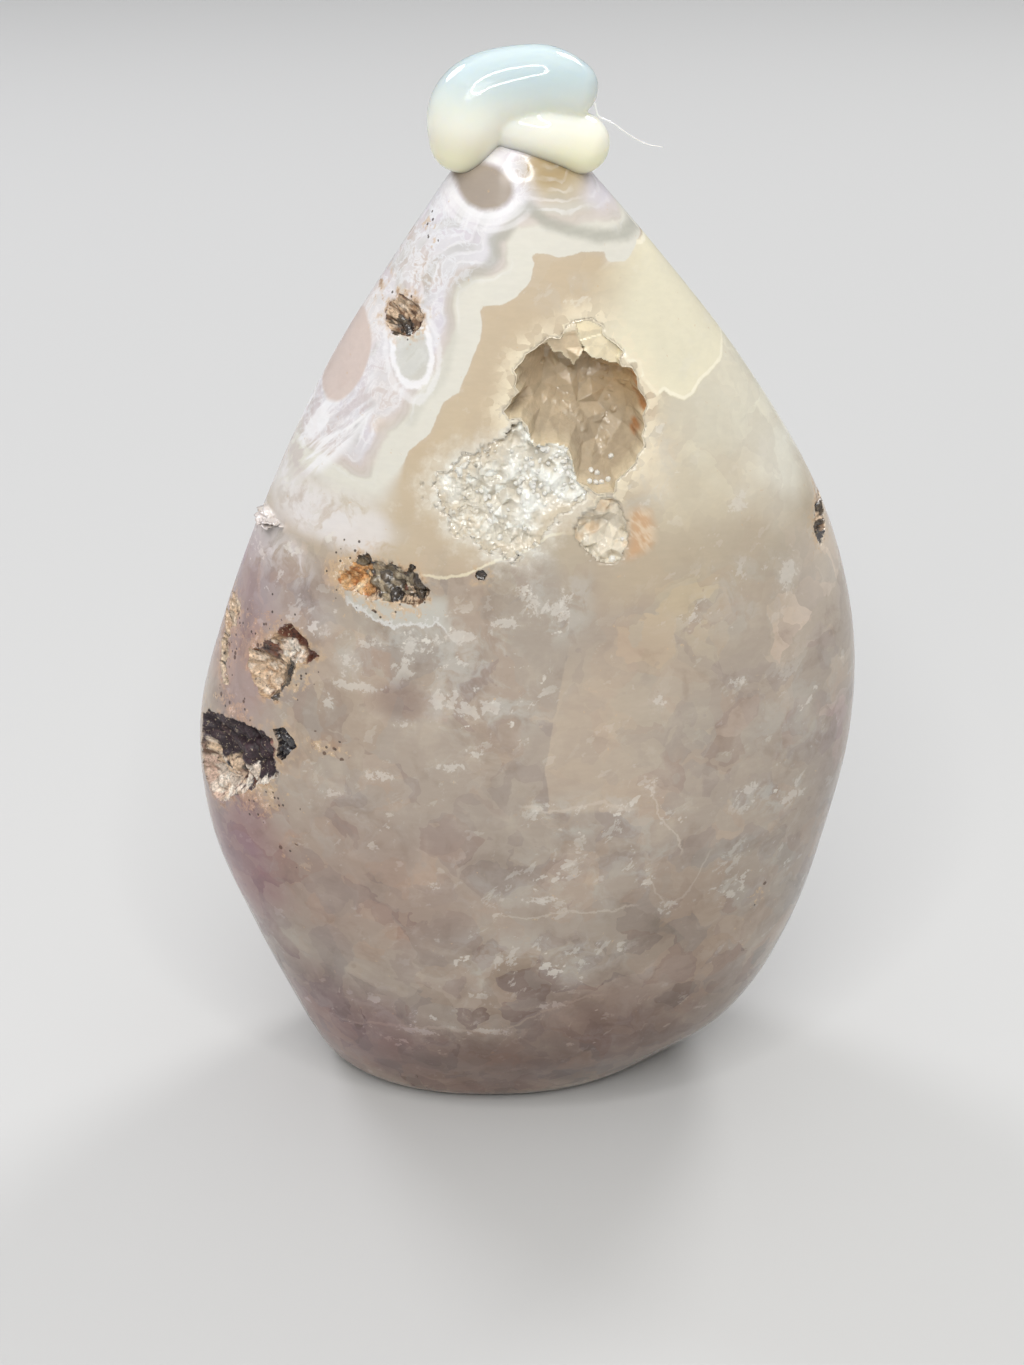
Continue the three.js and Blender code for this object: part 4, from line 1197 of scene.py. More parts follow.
# x, z, half width, half height, strength of the white veils in the clear quartz
VEILS = [
    (-20.5, 73.4, 6, 3.0, 1.0), (-24.6, 66.6, 3.2, 2.6, 1.0), (-22, 63.0, 3, 2.6, 0.7),
    (-17.5, 72.5, 5, 2.6, 0.9), (26, 43.2, 5, 2.4, 0.9),
    (12.5, 80, 3.0, 4.5, 0.6), (4, 95.2, 4.5, 1.8, 0.4), (-6, 79, 3, 3, 0.5), (11, 77, 4, 3, 0.6),
    (-8, 61.5, 8, 4.0, 1.0), (-4, 57.5, 7, 5, 0.9), (3, 67, 4, 5, 0.8), (-15, 60, 5, 3, 0.6),
    (6, 44, 8, 2.5, 0.7), (12, 40, 5, 7, 0.6), (0, 25, 11, 5, 0.6), (28, 52, 6, 6, 0.5),
    (21, 66, 6, 4, 0.5), (-20, 42, 8, 5, 0.4), (24, 34, 6, 6, 0.5), (-14, 14, 12, 4, 0.6),
    (10, 15, 10, 4, 0.5), (-27, 66, 5, 5, 0.7), (3, 35, 12, 5, 0.4),
]
# x, z, half width and half height of the larger white flakes
FLAKES = [
    (-5.7, 55.4, 1.3, 0.8), (-7.1, 56.6, 0.7, 0.9), (-3.6, 56.0, 1.1, 0.6), (-15.2, 47.8, 1.8, 0.5),
    (-12.3, 53.7, 0.6, 0.5), (-8.8, 56.5, 1.1, 1.2), (-7.9, 49.4, 1.7, 0.5), (-5.0, 51.0, 1.0, 0.4),
    (-20.0, 44.9, 1.4, 0.6), (-15.3, 61.7, 1.1, 0.5), (-17.9, 59.3, 0.8, 1.1), (-20.2, 54.6, 0.5, 0.9),
    (-17.0, 57.0, 2.6, 0.5), (-11.4, 61.8, 1.0, 1.2), (1.4, 45.1, 1.1, 0.5), (5.2, 44.8, 0.7, 0.3),
    (9.4, 44.9, 0.9, 0.6), (12.9, 46.6, 0.5, 0.9), (23.4, 44.6, 1.2, 0.6), (28.4, 42.0, 1.6, 0.6),
    (0.6, 67.0, 0.6, 1.6), (3.6, 66.2, 0.5, 1.4), (-2.2, 64.8, 1.4, 0.6), (20.8, 74.7, 0.9, 0.9),
    (26.5, 66.8, 1.0, 1.6), (-6.6, 63.2, 1.5, 0.8), (13.4, 56.4, 0.5, 0.8), (21.4, 57.2, 0.7, 0.4),
    (-9.6, 35.0, 1.0, 0.5), (15.0, 31.6, 0.8, 0.9), (12.9, 35.4, 0.6, 1.1), (2.0, 33.6, 2.2, 0.4),
    (-12.0, 13.8, 2.4, 0.5), (-4.0, 14.6, 2.2, 0.5), (3.4, 18.8, 1.2, 0.5),
]
# the same for the rusty and dark grains around the hollows
STAINS = [
    (-17.4, 67.8, 3.4, 2.8, 0.8), (-13.5, 65.4, 4.6, 1.4, 0.6), (-25.5, 58.0, 4.4, 5.0, 0.75),
    (-30.8, 58.6, 1.6, 4.6, 0.6), (-29.6, 42.6, 5.4, 3.4, 0.8), (-20.5, 49.8, 3.2, 1.2, 0.6),
    (-11.5, 92.4, 2.6, 2.6, 0.6), (30.2, 70.2, 1.3, 2.8, 0.7), (25.5, 29.4, 1.4, 1.8, 0.5),
    (-31.0, 50.6, 4.0, 1.4, 0.7), (-9.2, 101.0, 1.0, 2.8, 0.55), (-24, 36, 3.4, 2.6, 0.25),
]
CREAM_BAND = srgb(221, 218, 207)
BAND_WHITE = srgb(220, 219, 221)
BAND_GREY = srgb(170, 169, 158)
TAN = srgb(203, 185, 158)
CREAM = srgb(228, 222, 198)
CREAM_EDGE = srgb(238, 230, 202)
EYE_GREY = srgb(169, 157, 145)
MAUVE = srgb(206, 188, 178)
FLAKE_WHITE = srgb(222, 217, 208)
PALE_LINE = srgb(205, 193, 178)
RUST = srgb(196, 148, 98)
FRINGE_WHITE = srgb(204, 204, 196)
BAND_BRIGHT = srgb(240, 239, 240)
BAND_PINK = srgb(206, 192, 182)
BAND_LILAC = srgb(214, 209, 215)
FOLD_BLUE = srgb(224, 226, 230)
FAN_GAP = srgb(196, 182, 180)
CREAM_RIM = srgb(246, 240, 220)
RING_CREAM = srgb(236, 224, 198)
ORANGE = srgb(206, 164, 124)
ORANGE_PALE = srgb(224, 200, 170)
STAIN_TAN = srgb(206, 178, 144)
STAIN_CREAM = srgb(232, 218, 196)
STAIN_RUST = srgb(204, 150, 98)
STAIN_DARK = srgb(92, 68, 54)
QUARTZ_TINTS = [srgb(172, 168, 160), srgb(186, 160, 142), srgb(150, 134, 126), srgb(196, 180, 158),
                srgb(166, 160, 150)]
PLANE_BEIGE = srgb(198, 180, 158)
DARK_SPECK = srgb(70, 58, 52)
LACE_GREY = srgb(206, 206, 198)
RIM_BROWN = srgb(150, 116, 86)
LEDGE_WHITE = srgb(250, 245, 243)
SMOKE_SHADE = srgb(205, 196, 192)
SMOKE_LIGHT = srgb(200, 188, 172)
COTTON_WHITE = srgb(196, 194, 187)
COTTON_BRIGHT = srgb(228, 224, 222)
WISP_WHITE = srgb(214, 209, 200)
FLECK_WHITE = srgb(226, 221, 211)
CLEAR_WHITE = srgb(252, 249, 240)
# y where the front's markings begin to turn into the back's, and where they have
BACK_STARTS, BACK_ENDS = -4, 3
FAR_AWAY = 9


def oval(x, z, middle, half, turn=0.0):
    """1 at the rim of an ellipse, less inside."""
    dx, dz = x - middle[0], z - middle[1]
    along = dx * math.cos(turn) - dz * math.sin(turn)
    across = dx * math.sin(turn) + dz * math.cos(turn)
    return np.hypot(along / half[0], across / half[1])


def zone_share(x, z, zone, ragged, inner, outer):
    """1 in the middle of an oval zone, given as its middle and halves, and 0 past its ragged rim."""
    return 1 - smoothstep(inner, outer, oval(x, z, zone[:2], zone[2:]) + ragged)


def strongest(x, z, rows, ragged, inner, outer):
    """The greatest share of any zone. Each row ends in its zone's strength."""
    shares = [strength * zone_share(x, z, zone, ragged, inner, outer) for *zone, strength in rows]
    return np.max(shares, axis=0)


def body_colour(z):
    levels = [level for level, _ in BODY_COLOURS]
    columns = [np.interp(z, levels, [colour[i] for _, colour in BODY_COLOURS]) for i in range(3)]
    return np.column_stack(columns)


def line_height(x, line):
    """The height of an open line at each x."""
    rows = np.array(sorted(line))
    return np.interp(x, rows[:, 0], rows[:, 1])


def line_side(z, line):
    """The x of an upright open line at each height."""
    return line_height(z, [(high, across) for across, high in line])


def between(value, low, high, soft):
    """1 from low to high, with soft ends."""
    return smoothstep(low - soft, low, value) * (1 - smoothstep(high, high + soft, value))


def painted(points):
    """The soft colours and tones of the polished skin, with painted shade at its foot, and the masks that its
    shader reads.
    """
    front = 1 - smoothstep(BACK_STARTS, BACK_ENDS, points[:, 1])
    shift = 1 - front
    x = points[:, 0] + shift * (3.0 * cloud(points, 9, 201) + 2.0)
    z = points[:, 2] + shift * (4.0 * cloud(points, 10, 202) - 3.0)
    broad = cloud(points, 3.5, 204)
    wide = cloud(points, 8, 205)
    band = -outline_distance(x, z, BAND_EDGE + BAND_FAR)
    lip = np.linalg.norm((points - LIP_MIDDLE) / LIP_HALF, axis=1)
    paint = Paint(len(points))
    paint.colour = body_colour(z + 2.5 * wide + 1.2 * broad)
    # clouds, those at the upper right and right edge partly painted light
    for *zone, colour, strength in CLOUDS:
        paint.lay(strength * zone_share(x, z, zone, 0.25 * broad, 0.35, 1.25), colour)
    paint.lay(smoothstep(-0.5, 1, band), BAND_LILAC)
    for *zone, colour, strength in BAND_CLOUDS:
        share = strength * zone_share(x, z, zone, 0.2 * broad, 0.4, 1.2)
        paint.lay(smoothstep(-1, 1, band) * share, colour)
    for *zone, strength in RUST_CLOUDS:
        paint.lay(front * strength * zone_share(x, z, zone, 0.3 * broad, 0.3, 1.2), RUST)
    paint.lay(smoothstep(1.7, 1.2, lip), LEDGE_WHITE)
    # tones that tint the quartz, and round the foot darken it partly as painted shade
    tone = np.ones((len(points), 3))
    for *zone, left in TONES_AND_FOOT_SHADE:
        share = zone_share(x, z, zone, 0.2 * broad, 0.3, 1.25)
        tone *= 1 - share[:, None] * (1 - np.array(left))
    return paint.colour, tone, skin_masks(x, z, front, broad, band, lip)


def skin_masks(x, z, front, broad, band, lip):
    """The distances to the markings, and how far each marking shows."""
    rightward = smoothstep(-2, 8, x)
    level = z + (1.5 + 2 * rightward) * broad
    lower = 1 - smoothstep(69.5 - 12 * rightward, 71.5 + 4 * rightward, level)
    veil = strongest(x, z, VEILS, 0.3 * broad, 0.5, 1.3)
    stain = strongest(x, z, STAINS, 0.3 * broad, 0.3, 1.2) * smoothstep(1.3, 1.9, lip)
    flakes = [(oval(x, z, zone[:2], zone[2:]) - 1) * math.sqrt(zone[2] * zone[3]) for zone in FLAKES]
    hollows = [outline_distance(x, z, outline) for outline in HOLLOWS]
    plate_left = 0.2 + 0.8 * smoothstep(-21, -13, x)
    cream_left = smoothstep(2.5, 9, x + 0.5 * (90 - z) + 0.8 * broad)

    def on_front(distance):
        return np.where(front > 0.5, distance, FAR_AWAY)

    return {
        "front": front,
        "quartz": np.maximum(lower, 0.2),
        "veil": np.maximum(veil, (1 - front) * 0.5 * lower),
        "bright": smoothstep(64, 69, z) * (1 - smoothstep(-15, -10, x)) * front,
        "stain": front * stain,
        "hollow": on_front(np.min(hollows, axis=0)),
        "flake": on_front(np.min(flakes, axis=0)),
        "band": band,
        "band_soft": 0.08 + 2.4 * smoothstep(80, 74, z),
        "calm": smoothstep(-1.0, 1.5, x) * smoothstep(100.4, 102, z),
        "grey_line": on_front(line_distance(x, z, GREY_LINE)),
        "grey_share": 0.22 + 0.5 * smoothstep(95, 99, z),
        "plate": z - line_height(x, PLATE_EDGE),
        "plate_share": (1 - smoothstep(3, 12, x)) * smoothstep(66, 70, z) * plate_left,
        "plate_line": 0.15 + 0.85 * between(x, -9.5, 2.5, 1.5) * front,
        "cream": outline_distance(x, z, CREAM_PLATE),
        "cream_share": cream_left * (1 - 0.9 * smoothstep(16.0, 27.0, x)),
        "step": x - line_side(z, STEP_LINE),
        "step_share": front * between(z, 45.2, 56, 9) * (z > 44.6) * (1 - smoothstep(5, 20, x)),
        "notch": z - line_height(x, NOTCH_LINE),
        "notch_share": front * between(x, 0.4, 10.5, 1.5),
        "crack": x - line_side(z, RIGHT_CRACK),
        "crack_share": front * between(z, 39.0, 47.0, 1.0),
        "low_crack": z - line_height(x, LOW_CRACK),
        "low_share": front * between(x, -2.0, 11.0, 1.5),
        "vee": z - line_height(x, VEE),
        "vee_share": front * between(x, 12.9, 19.2, 0.6),
        "foot_line": z - line_height(x, FOOT_LINE),
        "foot_share": front * between(x, -18, 6, 4),
        "fringe": z - line_height(x, FRINGE),
        "fringe_share": front * between(x, -17.6, -8.2, 0.8) * (1 - smoothstep(66.2, 67.4, z)),
        "lace": oval(x, z, LACE_OVAL, LACE_OVAL_HALF),
        "mauve": oval(x, z, MAUVE_OVAL, MAUVE_OVAL_HALF, MAUVE_OVAL_TURN),
        "eye": oval(x, z, EYE, EYE_HALF),
        "eye_share": front * smoothstep(1.0, -1.5, x + 0.5 * (z - 103)),
        "fan": between(-outline_distance(x, z, FAN), 0.2, 99, 1.0),
        "folds": 1 - smoothstep(-0.6, 0.8, outline_distance(x, z, FOLDS)),
        "ice": outline_distance(x, z, ICY),
        "pocket": outline_distance(x, z, POCKET),
        "orange": outline_distance(x, z, ORANGE_PIECE),
    }


def add_layer(mesh, name, kind, field, values):
    layer = mesh.attributes.new(name, kind, "POINT")
    layer.data.foreach_set(field, np.asarray(values, dtype=np.float32).ravel())


def add_colour(mesh, name, colours):
    opaque = np.column_stack([np.clip(colours, 0, 1), np.ones(len(colours))])
    add_layer(mesh, name, "FLOAT_COLOR", "color", opaque)


# materials of the stone
AGATE_IOR = 1.54
QUARTZ_IOR = 1.544
GLUE_IOR = 1.5
# how far light goes into each material, as red, green and blue, and in metres
SKIN_GLOW = {"Subsurface_Weight": 0.12, "Subsurface_Radius": (1.0, 0.85, 0.65), "Subsurface_Scale": 0.0012}
POINT_GLOW = {"Subsurface_Weight": 0.3, "Subsurface_Radius": (1.0, 0.95, 0.85), "Subsurface_Scale": 0.0004}
CRUST_GLOW = {"Subsurface_Weight": 0.3, "Subsurface_Radius": (1.0, 0.92, 0.8), "Subsurface_Scale": 0.0005}
GLUE_GLOW = {"Subsurface_Weight": 0.9, "Subsurface_Radius": (1.0, 0.9, 0.7), "Subsurface_Scale": 0.003}
# size in mm, tints and strength of the two layers of angular patches
PATCH_LAYERS = [(9.0, QUARTZ_TINTS[:3], 0.42), (4.6, QUARTZ_TINTS[2:], 0.32)]
# mask, mask of its share, width in mm and strength of each fracture line
CRACKS = [
    ("notch", "notch_share", 0.3, 0.5), ("crack", "crack_share", 0.2, 0.5),
    ("low_crack", "low_share", 0.2, 0.4),
    ("vee", "vee_share", 0.35, 0.4), ("foot_line", "foot_share", 0.3, 0.3),
]
# wavelength in mm, strength and tint of the stripes along the bands
STRIPES = [(0.9, 0.4, BAND_BRIGHT), (2.3, 0.35, BAND_GREY)]
# reach in parts of the oval, width and strength of the rings round an oval
LACE_RINGS = [(1.0, 0.24, 0.9), (1.4, 0.22, 0.5)]
EYE_RINGS = [(1.8, 0.2, 0.45), (1.5, 0.2, 0.6), (1.22, 0.26, 0.85)]
# level of the mottle, strength and tint of the grains round the hollows
STAIN_LEVELS = [(0.36, 0.6, STAIN_TAN), (0.47, 0.7, STAIN_CREAM), (0.52, 0.6, STAIN_RUST)]
STAIN_LEVEL_SOFT = 0.035
# cell size in mm, reach in parts of a cell, chance and tint of the dots round the hollows
STAIN_DOTS = [(0.9, 0.28, 0.3, STAIN_DARK), (0.5, 0.3, 0.34, DARK_SPECK)]
STAIN_DOT_SOFT = 0.06


def polished_agate():
    """The polished skin: clear quartz with veils, plates and bands, all laid in by their distances."""
    shader = Shader("polished_agate")
    place = shader.place()
    paint = shader.layer("paint")
    warped = shader.warped(place, 4.0, 5.0)
    ragged = shader.centred(shader.noise(place, 1.5, 4, 0.65), 1.6)
    colour = quartz_texture(shader, paint, place, warped)
    colour = plate_texture(shader, colour, ragged)
    colour = veil_texture(shader, colour, place, warped)
    colour = flake_texture(shader, colour, place)
    colour = crack_texture(shader, colour, ragged)
    colour = band_texture(shader, colour, paint, place, ragged)
    colour = sugar_texture(shader, colour, place, ragged)
    colour = stain_texture(shader, colour, place)
    # the tones multiply the colour; round the foot they are partly painted shade
    colour = shader.mix(1.0, colour, shader.layer("tone"), "MULTIPLY")
    brush = shader.noise(shader.stretched(place, (0.5, 1.0, 1.6)), 0.9, 2, 0.65)
    colour = shader.shaded(colour, shader.span(brush, 0.3, 0.7, 0.98, 1.015))
    rough = shader.span(shader.noise(place, 1.8, 1), 0.3, 0.7, 0.13, 0.2)
    shader.set_surface(Base_Color=colour, Roughness=rough, IOR=AGATE_IOR, **SKIN_GLOW)
    return shader.material


def quartz_texture(shader, colour, place, warped):
    """Soft angular patches of the clear quartz, each a little different in tone and hue."""
    share = shader.mask("quartz")
    for size, tints, strength in PATCH_LAYERS:
        _, tones = shader.cells(warped, size, 1.0)
        for tone, tint in zip(tones, tints):
            colour = shader.lay(colour, tint, shader.span(tone, 0.52, 0.68), share, strength)
    smoke = shader.noise(place, 5.0, 5, 0.6, 0.4)
    dark = shader.times(shader.span(smoke, 0.50, 0.32), share, 0.42)
    colour = shader.mix(dark, colour, SMOKE_SHADE, "MULTIPLY")
    return shader.lay(colour, SMOKE_LIGHT, shader.span(smoke, 0.52, 0.72), share, 0.3)


def plate_texture(shader, colour, ragged):
    """The tan plate under the bands, the cream plate at the right and the stepped plane below."""
    tan_share = shader.mask("plate_share")
    edge = shader.plus(shader.mask("plate"), shader.times(ragged, 0.5))
    colour = shader.lay(colour, TAN, shader.span(edge, -0.05, 0.12), tan_share, 0.6)
    line_share = shader.times(tan_share, shader.mask("plate_line"))
    colour = shader.lay_line(colour, shader.minus(edge, 0.2), 0.22, line_share, 0.7, CREAM_EDGE)
    cream_share = shader.mask("cream_share")
    edge = shader.plus(shader.mask("cream"), shader.times(ragged, 0.35))
    cream = shader.times(shader.span(edge, 0.1, -0.1), cream_share)
    colour = shader.lay(colour, CREAM, cream, 0.92)
    colour = shader.lay(colour, CREAM_EDGE, shader.span(edge, -2.6, -0.1), cream, 0.5)
    colour = shader.lay_line(colour, shader.plus(edge, 0.2), 0.22, cream_share, 0.8, CREAM_RIM)
    step = shader.plus(shader.mask("step"), shader.times(ragged, 0.4))
    return shader.lay(colour, PLANE_BEIGE, shader.span(step, -0.05, 0.12), shader.mask("step_share"), 0.5)


def veil_texture(shader, colour, place, warped):
    """White clouds, wisps and small crisp flakes in the clear quartz."""
    veil, bright = shader.mask("veil"), shader.mask("bright")
    cotton = shader.plus(shader.noise(warped, 3.4, 5, 0.62, 0.4), shader.times(bright, 0.1))
    strength = shader.span(bright, 0, 1, 0.55, 0.85)
    tint = shader.mix(bright, COTTON_WHITE, COTTON_BRIGHT)
    colour = shader.lay(colour, tint, shader.span(cotton, 0.44, 0.62), veil, strength)
    wisps = shader.noise(shader.stretched(place, (1.0, 0.5, 0.6), (0, 0.7, 0)), 2.2, 5, 0.7, 0.3)
    colour = shader.lay(colour, WISP_WHITE, shader.span(wisps, 0.585, 0.625), shader.plus(veil, 0.12), 0.6)
    flecks = shader.noise(shader.stretched(place, (0.7, 0.5, 1.0), (0, -0.5, 0)), 2.2, 4, 0.62, 0.1)
    fleck = shader.math("MULTIPLY", shader.span(flecks, 0.63, 0.66), shader.plus(veil, 0.2), clamp=True)
    return shader.lay(colour, FLECK_WHITE, fleck, 0.75)


def flake_texture(shader, colour, place):
    """The larger white flakes, each at its own place."""
    ragged = shader.centred(shader.noise(place, 1.1, 4, 0.72, 0.4), 4.4)
    fine = shader.centred(shader.noise(place, 0.4, 1, 0.6), 1.2)
    edge = shader.plus(shader.mask("flake"), ragged, fine)
    for rim, core, strength in ((0.9, -0.6, 0.12), (-0.12, -0.30, 0.4)):
        colour = shader.lay(colour, FLAKE_WHITE, shader.span(edge, rim, core, 0, strength))
    return colour


def crack_texture(shader, colour, ragged):
    """Pale fracture lines in the quartz."""
    for line, share, width, strength in CRACKS:
        away = shader.plus(shader.mask(line), shader.times(ragged, 1.1))
        colour = shader.lay_line(colour, away, width, shader.mask(share), strength, PALE_LINE)
    return colour


def band_texture(shader, colour, paint, place, ragged):
    """The white and grey bands at the top and upper left, with their ovals, folds and fan."""
    wavy = shader.centred(shader.noise(place, 3.0, 3), 1.6)
    band = shader.plus(shader.mask("band"), shader.times(ragged, 0.3))
    base = shader.mix(shader.span(band, 2.3, 3.6), CREAM_BAND, paint)
    curls = shader.noise(shader.warped(place, 2.4, 3.4), 2.6, 5, 0.62, 1.2)
    ridges = shader.math("ABSOLUTE", shader.minus(curls, 0.5))
    deep = shader.times(shader.span(band, 2.4, 4.4), shader.minus(1.0, shader.mask("calm")))
    base = shader.lay(base, BAND_WHITE, shader.span(curls, 0.38, 0.64), deep, 0.7)
    base = shader.lay(base, BAND_BRIGHT, shader.span(ridges, 0.06, 0.0), deep, 0.45)
    depth = shader.plus(shader.mask("band"), shader.times(wavy, 1.4))
    shown = shader.times(shader.span(shader.noise(place, 4.0, 2), 0.42, 0.62), shader.span(band, 1.6, 2.6))
    for wavelength, strength, tint in STRIPES:
        stripe = shader.math("SINE", shader.times(depth, TAU / wavelength))
        base = shader.lay(base, tint, shader.span(stripe, 0.2, 0.95), shown, strength)
    pink = shader.plus(band, shader.times(wavy, 0.5))
    base = shader.lay_line(base, shader.minus(pink, 3.0), 0.8, shader.mask("front"), 0.5, BAND_PINK)
    grey = shader.plus(shader.mask("grey_line"), shader.times(ragged, 0.35))
    base = shader.lay(base, BAND_GREY, shader.span(grey, 0.9, 0.1), shader.mask("grey_share"))

    strands = shader.noise(shader.stretched(place, (1.0, 0.4, 0.12), (0, FAN_TURN, 0)), 1.0, 3, 0.5, 0.3)
    base = shader.lay(base, BAND_BRIGHT, shader.span(strands, 0.46, 0.58), shader.mask("fan"), 0.85)
    base = shader.lay(base, FAN_GAP, shader.span(strands, 0.46, 0.38), shader.mask("fan"), 0.5)
    base = shader.lay(base, FOLD_BLUE, shader.span(ridges, 0.07, 0.0), shader.mask("folds"), 0.5)
    base = oval_texture(shader, base, ragged)
    inside = shader.span(shader.math("DIVIDE", band, shader.mask("band_soft")), -0.8, 1.0)
    return shader.mix(inside, colour, base)


def oval_texture(shader, colour, ragged):
    """The mauve oval, the lace oval and the eye, with the bright rings round them."""
    mauve = shader.plus(shader.mask("mauve"), shader.times(ragged, 0.06))
    colour = shader.lay(colour, MAUVE, shader.span(mauve, 1.08, 0.94), 0.85)
    lace = shader.plus(shader.mask("lace"), shader.times(ragged, 0.34))
    colour = shader.lay(colour, LACE_GREY, shader.span(lace, 1.0, 0.8), 0.7)
    eye = shader.plus(shader.mask("eye"), shader.times(ragged, 0.1))
    for oval_reach, rings, share in ((lace, LACE_RINGS, "front"), (eye, EYE_RINGS, "eye_share")):
        for ring, width, strength in rings:
            away = shader.minus(oval_reach, ring)
            colour = shader.lay_line(colour, away, width, shader.mask(share), strength, BAND_BRIGHT)
    return shader.lay(colour, EYE_GREY, shader.span(eye, 1.12, 0.80))


def sugar_texture(shader, colour, place, ragged):
    """The frosty field, the sugary ring round the pocket, the orange piece and the scalloped fringe."""
    front = shader.mask("front")
    _, tones = shader.cells(shader.warped(place, 0.6, 0.5), 0.8)
    ice = shader.plus(shader.mask("ice"), shader.times(ragged, 3.2))
    frost = shader.mix(tones[0], ICE_CREAM, ICE_WHITE)
    colour = shader.lay(colour, frost, shader.span(ice, 2.8, -1.4), front, 0.8)
    ring = shader.plus(shader.mask("pocket"), shader.times(ragged, 1.2))
    grain = shader.span(tones[1], 0.1, 0.8, 0.2, 1.0)
    colour = shader.lay(colour, RING_CREAM, shader.span(ring, 2.8, 0.2), front, grain, 0.85)
    edge = shader.plus(shader.mask("orange"), shader.times(ragged, 0.3))
    streaks = shader.noise(shader.stretched(place, (0.35, 1.0, 1.0), (0, 0.9, 0)), 0.7, 2, 0.6)
    streaked = shader.mix(shader.span(streaks, 0.4, 0.6), ORANGE, ORANGE_PALE)
    colour = shader.lay(colour, streaked, shader.span(edge, 0.5, -0.9), 0.75)
    scallop = shader.plus(shader.mask("fringe"), shader.times(ragged, 2.0))
    share = shader.mask("fringe_share")
    colour = shader.lay(colour, FRINGE_WHITE, shader.span(scallop, 0.0, 0.2), share, 0.62)
    return shader.lay_line(colour, shader.minus(scallop, 0.2), 0.3, share, 0.35, BAND_BRIGHT)


def stain_texture(shader, colour, place):
    """Tan sugar, rust and dark dots around the small hollows."""
    stain = shader.mask("stain")
    hollow = shader.plus(shader.mask("hollow"), shader.centred(shader.noise(place, 0.7, 3, 0.65), 3.0))
    patchy = shader.span(shader.noise(place, 1.3, 2, 0.6), 0.42, 0.58)
    colour = shader.lay(colour, STAIN_TAN, shader.span(hollow, 1.0, -0.2), patchy, 0.7)
    colour = shader.lay(colour, RIM_BROWN, shader.span(hollow, 0.1, -0.3), patchy, 0.6)
    mottle = shader.noise(place, 0.8, 4, 0.68)
    dense = shader.minus(mottle, shader.times(shader.minus(1.0, stain), 0.32))
    for low, strength, tint in STAIN_LEVELS:
        colour = shader.lay(colour, tint, shader.span(dense, low, low + STAIN_LEVEL_SOFT), strength)
    for size, reach, chance, tint in STAIN_DOTS:
        away, picks = shader.cells(place, size)
        dot = shader.span(away, reach + STAIN_DOT_SOFT, reach - STAIN_DOT_SOFT)
        sown = shader.math("GREATER_THAN", shader.times(stain, chance), picks[0])
        colour = shader.lay(colour, tint, dot, sown, 0.85)
    return colour


def ball_template(subdivisions):
    work = bmesh.new()
    bmesh.ops.create_icosphere(work, subdivisions=subdivisions, radius=1)
    points = np.array([vertex.co[:] for vertex in work.verts])
    faces = [tuple(vertex.index for vertex in face.verts) for face in work.faces]
    work.free()
    return points, faces


LEAST_DEPTH = 0.03
# faces of a wall that its rim leaves a little in front of the hollow still belong to it
WALL_RIM = -0.3
# order of the materials on the stone
SKIN, VUG_MATT, VUG_GLOSSY = range(3)
CRUST_BACK = 0.8
CRUST_BEDDED = 0.4
# the rough white lump on the left edge: middle and halves
LIP_MIDDLE = (-25.9, -2.4, 70.2)
LIP_HALF = (1.9, 3.2, 0.62)


def dress(made, patches, materials, material_of_kind):
    """Gives a mesh its materials, paint and masks, from the patches that it was cut with."""
    mesh = made.data
    mesh.materials.clear()
    for material in materials:
        mesh.materials.append(material)
    points = places_of(mesh.vertices, "co")
    centres = places_of(mesh.polygons, "center")
    colours, tone, masks = painted(points)
    indices = np.zeros(len(centres), dtype=np.int32)
    for patch in patches:
        nodes, over = patch.nodes(points)
        over &= (depth_in(points) > LEAST_DEPTH) & (patch.depth[nodes] > 0)
        colours[over] = patch.paint.colour[nodes[over]]
        nodes, over = patch.nodes(centres)
        over &= (depth_in(centres) > LEAST_DEPTH) & (patch.depth[nodes] > WALL_RIM)
        indices[over] = material_of_kind[patch.kind[nodes[over]]]
    mesh.polygons.foreach_set("material_index", indices)
    add_colour(mesh, "paint", colours)
    add_colour(mesh, "tone", tone)
    for name, values in masks.items():
        add_layer(mesh, name, "FLOAT", "value", values)
    return indices


def add_lip(stone):
    """Joins the rough white lump to the left edge of the stone."""
    ball, faces = ball_template(5)
    rough = 1 + 0.5 * cloud(ball, 0.45, 181) + 0.3 * cloud(ball, 0.16, 182)
    cut(stone, new_cutter(ball * rough[:, None] * LIP_HALF + LIP_MIDDLE, faces), "UNION")


def carve(stone, patch, depth):
    """Cuts the stone away in front of a patch, down to a depth."""
    cut(stone, new_cutter(*patch.solid(np.full(patch.x.size, -STAND_OUT), depth)))


def build_stone(druse, vugs):
    """The polished stone with its hollows cut, as one mesh."""
    stone = new_object("polished_agate_stone", *polished_mesh())
    add_lip(stone)
    for patch in vugs:
        carve(stone, patch, patch.depth)
    carve(stone, druse, np.where(druse.depth > OUTSIDE + 0.01, druse.depth + CRUST_BEDDED, OUTSIDE))
    materials = (polished_agate(), vug_surface("matt_grain", 0.55, 0.1, SPECK_PALE),
                 vug_surface("glossy_nodule", 0.16, 0.8, SPECK_SMOKE))
    indices = dress(stone, vugs, materials, np.array([VUG_MATT, VUG_GLOSSY, SKIN, SKIN, SKIN]))
    stone.data.polygons.foreach_set("use_smooth", np.ones(len(indices), dtype=bool))
    sharpen_rims(stone.data)
    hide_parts("agate_stone")
    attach(stone, "root")


